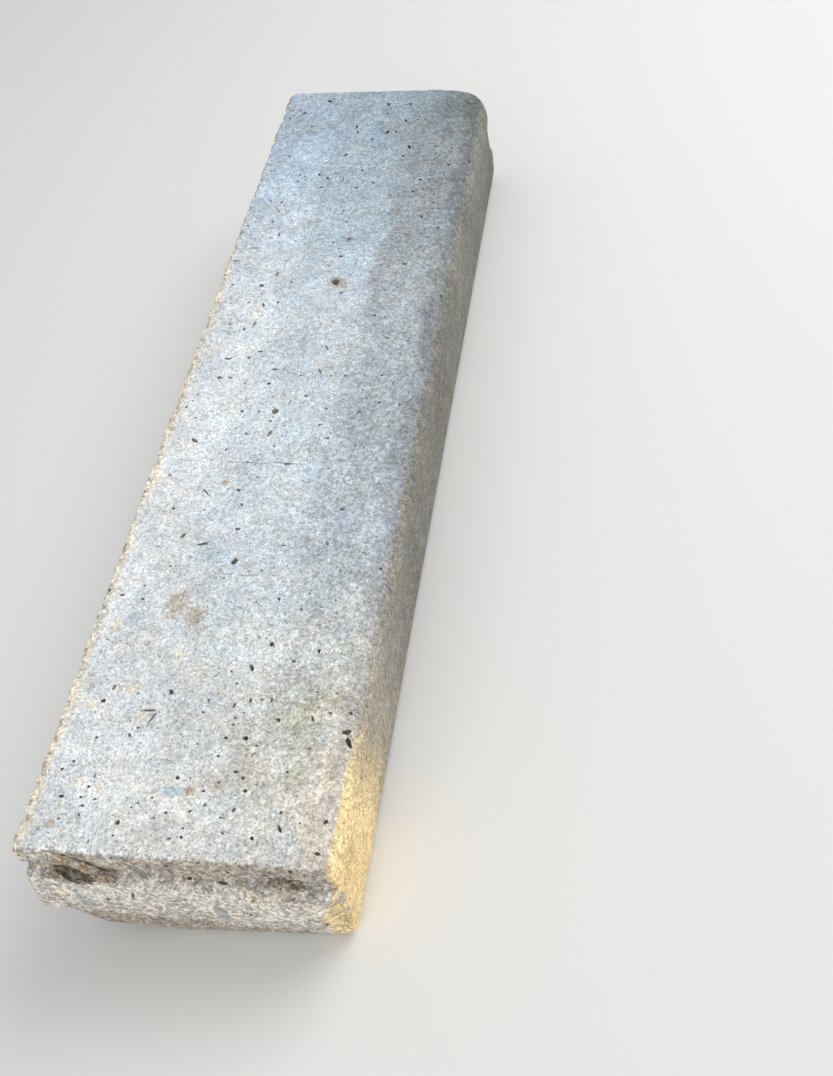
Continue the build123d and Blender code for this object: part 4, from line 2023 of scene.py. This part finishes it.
@dataclass
class Studio:
    """Floor, soft lamps, pale surroundings and the camera at the reference picture's angle."""

    floor_width: float = 24.0
    floor_colour: Colour = shade(0.78, 0.78, 0.77)
    floor_roughness: float = 0.9
    world_strength: float = 0.57
    camera_at: tuple[float, float, float] = (0.4996, -0.8280, 0.8708)
    looks_at: tuple[float, float, float] = (0.1453, -0.1769, 0.1000)
    roll_degrees: float = -26.454
    focal_pixels: float = 1224.95
    picture_height: float = 1076.0
    sensor: float = 36.0

    def build(self) -> None:
        """Sets up the floor, the lamps, the world and the camera."""
        self.floor()
        self.lamp("key", (1.7, 1.1, 2.3), 2.0, 52.0)
        self.lamp("fill", (0.2, -3.0, 1.6), 2.2, 22.0)
        self.world()
        self.camera()
        bpy.context.scene.view_settings.view_transform = "Standard"

    def floor(self) -> None:
        """Lays the pale matt floor that the stone lies on."""
        bm = bmesh.new()
        bmesh.ops.create_grid(bm, x_segments=1, y_segments=1, size=self.floor_width / 2)
        floor = new_object("studio_floor", to_mesh(bm, "studio_floor"))
        material = bpy.data.materials.new("studio_floor")
        material.use_nodes = True
        shader = material.node_tree.nodes["Principled BSDF"]
        shader.inputs["Base Color"].default_value = self.floor_colour
        shader.inputs["Roughness"].default_value = self.floor_roughness
        floor.data.materials.append(material)

    def lamp(self, name: str, place: tuple[float, float, float], size: float, watts: float) -> None:
        """Hangs a square soft lamp that shines at the stone.

        Args:
            name: The lamp's name.
            place: Where it hangs.
            size: Its side.
            watts: Its power.
        """
        light = bpy.data.lights.new(name, "AREA")
        light.size = size
        light.energy = watts
        lamp = new_object(name, light)
        lamp.location = place
        lamp.rotation_mode = "QUATERNION"
        lamp.rotation_quaternion = (-Vector(place)).to_track_quat("-Z", "Y")

    def world(self) -> None:
        """Surrounds the stone with even pale light."""
        world = bpy.data.worlds.new("studio")
        world.use_nodes = True
        background = world.node_tree.nodes["Background"]
        background.inputs["Color"].default_value = shade(1.0, 1.0, 1.0)
        background.inputs["Strength"].default_value = self.world_strength
        bpy.context.scene.world = world

    def camera(self) -> None:
        """Places the camera at the picture's viewing angle and makes it the scene's."""
        data = bpy.data.cameras.new("camera")
        data.sensor_width = self.sensor
        data.lens = self.focal_pixels / self.picture_height * self.sensor
        data.clip_start = 0.05
        data.clip_end = 100.0
        camera = new_object("camera", data)
        camera.location = self.camera_at
        towards = Vector(self.looks_at) - Vector(self.camera_at)
        roll = Quaternion((0.0, 0.0, 1.0), math.radians(self.roll_degrees))
        camera.rotation_mode = "QUATERNION"
        camera.rotation_quaternion = towards.to_track_quat("-Z", "Y") @ roll
        bpy.context.scene.camera = camera


@dataclass
class KerbStone:
    """The dressed stone: smooth shape, wear, holes, chips and marks, in the solid's place."""

    sizes: SectionSizes = SectionSizes()
    seed: int = 41
    rim_angle: float = math.radians(38.0)
    hidden_share: float = 0.70
    fine_end: float = 20 * MM
    fine_above: float = 125 * MM
    fine_past: float = 240 * MM
    rim_pebbles: int = 14
    end_pebbles: int = 16

    def build(self) -> bpy.types.Object:
        """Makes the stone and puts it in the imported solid's place.

        Returns:
            The finished object.
        """
        mesh = SmoothStone(self.sizes).build()
        place = RestingPlace(self.sizes).matrix(points_of(mesh))
        log.info("smooth stone: %d faces", len(mesh.polygons))
        Wear(self.sizes).apply(mesh)
        mesh = self.lightened(mesh)
        log.info("worn stone: %d faces", len(mesh.polygons))
        mesh.materials.clear()
        for finish in (WeatheredConcrete(), VoidWall(), BrokenConcrete(), PebbleSkin()):
            mesh.materials.append(finish.material(place))
        mesh = self.joined(mesh, self.pebbles(), "UNION")
        mesh = self.joined(mesh, self.crumbs(linking=False), "UNION")
        mesh = self.joined(mesh, self.crumbs(linking=True), "UNION")
        mesh = self.joined(mesh, self.hollows(surface_of(mesh)), "DIFFERENCE")
        mesh = self.joined(mesh, self.marks(), "DIFFERENCE")
        self.drop_loose_bits(mesh)
        mesh.name = "weathered_stone"
        Painter(self.sizes, mesh).paint()
        self.mark_rims(mesh)
        mesh.transform(place)
        self.keep_in_box(mesh)
        mesh.calc_loop_triangles()
        log.info("weathered stone: %d triangles", len(mesh.loop_triangles))
        return new_object("weathered_stone", mesh)

    def lightened(self, mesh: bpy.types.Mesh) -> bpy.types.Mesh:
        """Thins the mesh of the faces that the stone lies on or turns away.

        Args:
            mesh: The worn mesh.

        Returns:
            The thinned mesh.
        """
        stone = new_object("worn_stone", mesh)
        hidden = stone.vertex_groups.new(name="hidden")
        u, y, v = points_of(mesh).T
        inside = (y > self.fine_end) & (y < self.sizes.length - self.fine_end)
        inside &= (v < self.fine_above) & (u < self.fine_past)
        hidden.add(np.flatnonzero(inside).tolist(), 1.0, "REPLACE")
        thin = stone.modifiers.new("thin_hidden", "DECIMATE")
        thin.ratio = self.hidden_share
        thin.vertex_group = "hidden"
        lighter = evaluated_mesh(stone, "worn_stone_lighter")
        bpy.data.objects.remove(stone)
        return lighter

    def joined(
        self, mesh: bpy.types.Mesh, tools: bpy.types.Object, operation: str,
    ) -> bpy.types.Mesh:
        """Joins small shapes to the stone or cuts them out of it.

        Args:
            mesh: The stone's mesh.
            tools: The shapes, as one object, which is removed.
            operation: UNION or DIFFERENCE.

        Returns:
            The new mesh.
        """
        for material in mesh.materials:
            tools.data.materials.append(material)
        stone = new_object("stone_before", mesh)
        add_boolean(stone, tools, operation)
        result = evaluated_mesh(stone, "stone_after")
        bpy.data.objects.remove(stone)
        bpy.data.objects.remove(tools)
        return result

    def cutters(self, seed: int, surface: BVHTree | None = None) -> Cutters:
        """A new set of small shapes, with random draws of its own."""
        return Cutters(self.sizes, random.Random(self.seed + seed), surface)

    def pebbles(self) -> bpy.types.Object:
        """The small stones that stand out of the worn places, and the oval mark on the crest.

        Returns:
            The pieces, to be joined to the stone.
        """
        work = self.cutters(1)
        for row in BACK_FACE_PEBBLES:
            work.pebble(*row, UP)
        for row in END_PEBBLES:
            work.pebble(*row, NEARWARD)
        oval = (8.5 * MM, 3.4 * MM, 19 * MM)
        work.blob(spot(152.5, -9.5, 82), oval, Matrix.Identity(3), OVAL_MARK)
        draw, rim = work.rng.uniform, Vector((-0.7, 0, 0.7))
        for _ in range(self.rim_pebbles):
            work.pebble(5.5, draw(20, 980), 146.0, draw(4.0, 7.0), rim, 0.0)
        for _ in range(self.end_pebbles):
            place = (draw(15, 225), 0.6, work.rng.choice((draw(38, 65), draw(128, 142))))
            work.pebble(*place, draw(3.5, 8.0), NEARWARD, 0.2)
        return work.finished("pebbles")

    def crumbs(self, linking: bool) -> bpy.types.Object:
        """The crumbly ridges that run down the near end to the tongue, and the lumps beside them.

        Args:
            linking: Whether the linking ridges are wanted, which run into the other pieces.

        Returns:
            The pieces, to be joined to the stone.
        """
        work = self.cutters(2)
        for ridge in LINKING_RIDGES if linking else RIDGES:
            work.streak(ridge)
        for lump in () if linking else LUMPS:
            work.lump(*lump)
        return work.finished("crumbs")

    def marks(self) -> bpy.types.Object:
        """Marks that run into ones already cut.

        Returns:
            The cutters.
        """
        work = self.cutters(3)
        work.back_face_holes(SECOND_MARKS)
        work.streak(RIDGE_HOLLOW)
        return work.finished("marks")

    def hollows(self, surface: BVHTree) -> bpy.types.Object:
        """Air holes, chips and the broken place at the tongue, to be cut out of the stone.

        Args:
            surface: The worn stone's surface.

        Returns:
            The cutters.
        """
        work = self.cutters(0, surface)
        work.streak(ROOT_HOLLOW)
        for place in KEPT_CLEAR:
            work.keep(*place)
        work.chips(CHIPS)
        work.back_face_holes(FIRST_MARKS + BACK_FACE_HOLES)
        in_root = Vector((0, -0.55, 0.83))
        for u, y, v, length, width, turn in END_HOLES:
            facing = NEARWARD if y <= -12 or v > 124 else in_root
            work.air_hole(spot(u, y, v), facing, length * MM, width * MM, turn)
        for count, start, stop, out, bite in NICKED_ARRISES:
            work.nicks(count, spot(*start), spot(*stop), Vector(out), bite * MM)
        for count, corner, run, rise, out in POCKED_FIELDS:
            work.scattered_holes(count, spot(*corner), spot(*run), spot(*rise), out)
        return work.finished("hollows")

    def drop_loose_bits(self, mesh: bpy.types.Mesh) -> None:
        """Deletes crumbs that came loose and voids that no hole opens, and leaves the stone's skin.

        Args:
            mesh: The cut mesh, which is changed.
        """
        bm = bmesh.new()
        bm.from_mesh(mesh)
        left = set(bm.verts)
        shells: list[set[bmesh.types.BMVert]] = []
        while left:
            shell: set[bmesh.types.BMVert] = set()
            edge_of_search = [left.pop()]
            while edge_of_search:
                vert = edge_of_search.pop()
                shell.add(vert)
                for edge in vert.link_edges:
                    other = edge.other_vert(vert)
                    if other in left:
                        left.discard(other)
                        edge_of_search.append(other)
            shells.append(shell)
        shells.sort(key=len)
        loose = [vert for shell in shells[:-1] for vert in shell]
        log.info("loose shells dropped: %d", len(shells) - 1)
        bmesh.ops.delete(bm, geom=loose, context="VERTS")
        bm.to_mesh(mesh)
        bm.free()

    def keep_in_box(self, mesh: bpy.types.Mesh) -> None:
        """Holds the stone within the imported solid's box.

        Args:
            mesh: The mesh in its resting place, which is changed.
        """
        low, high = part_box(NODE)
        set_points(mesh, np.clip(points_of(mesh), np.array(low), np.array(high)))

    def mark_rims(self, mesh: bpy.types.Mesh) -> None:
        """Shades the faces smoothly, with a crisp edge wherever two meet at a steep angle.

        Args:
            mesh: The cut mesh, which is changed.
        """
        bm = bmesh.new()
        bm.from_mesh(mesh)
        for face in bm.faces:
            face.smooth = True
        for edge in bm.edges:
            edge.smooth = edge.calc_face_angle(0.0) < self.rim_angle
        bm.to_mesh(mesh)
        bm.free()


def main() -> None:
    """Builds the stone and its studio."""
    logging.basicConfig(level=logging.INFO, format="%(name)s: %(message)s")
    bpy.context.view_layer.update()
    stone = KerbStone().build()
    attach(stone, BODY)
    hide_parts(NODE)
    Studio().build()


if __name__ == "__main__":
    main()
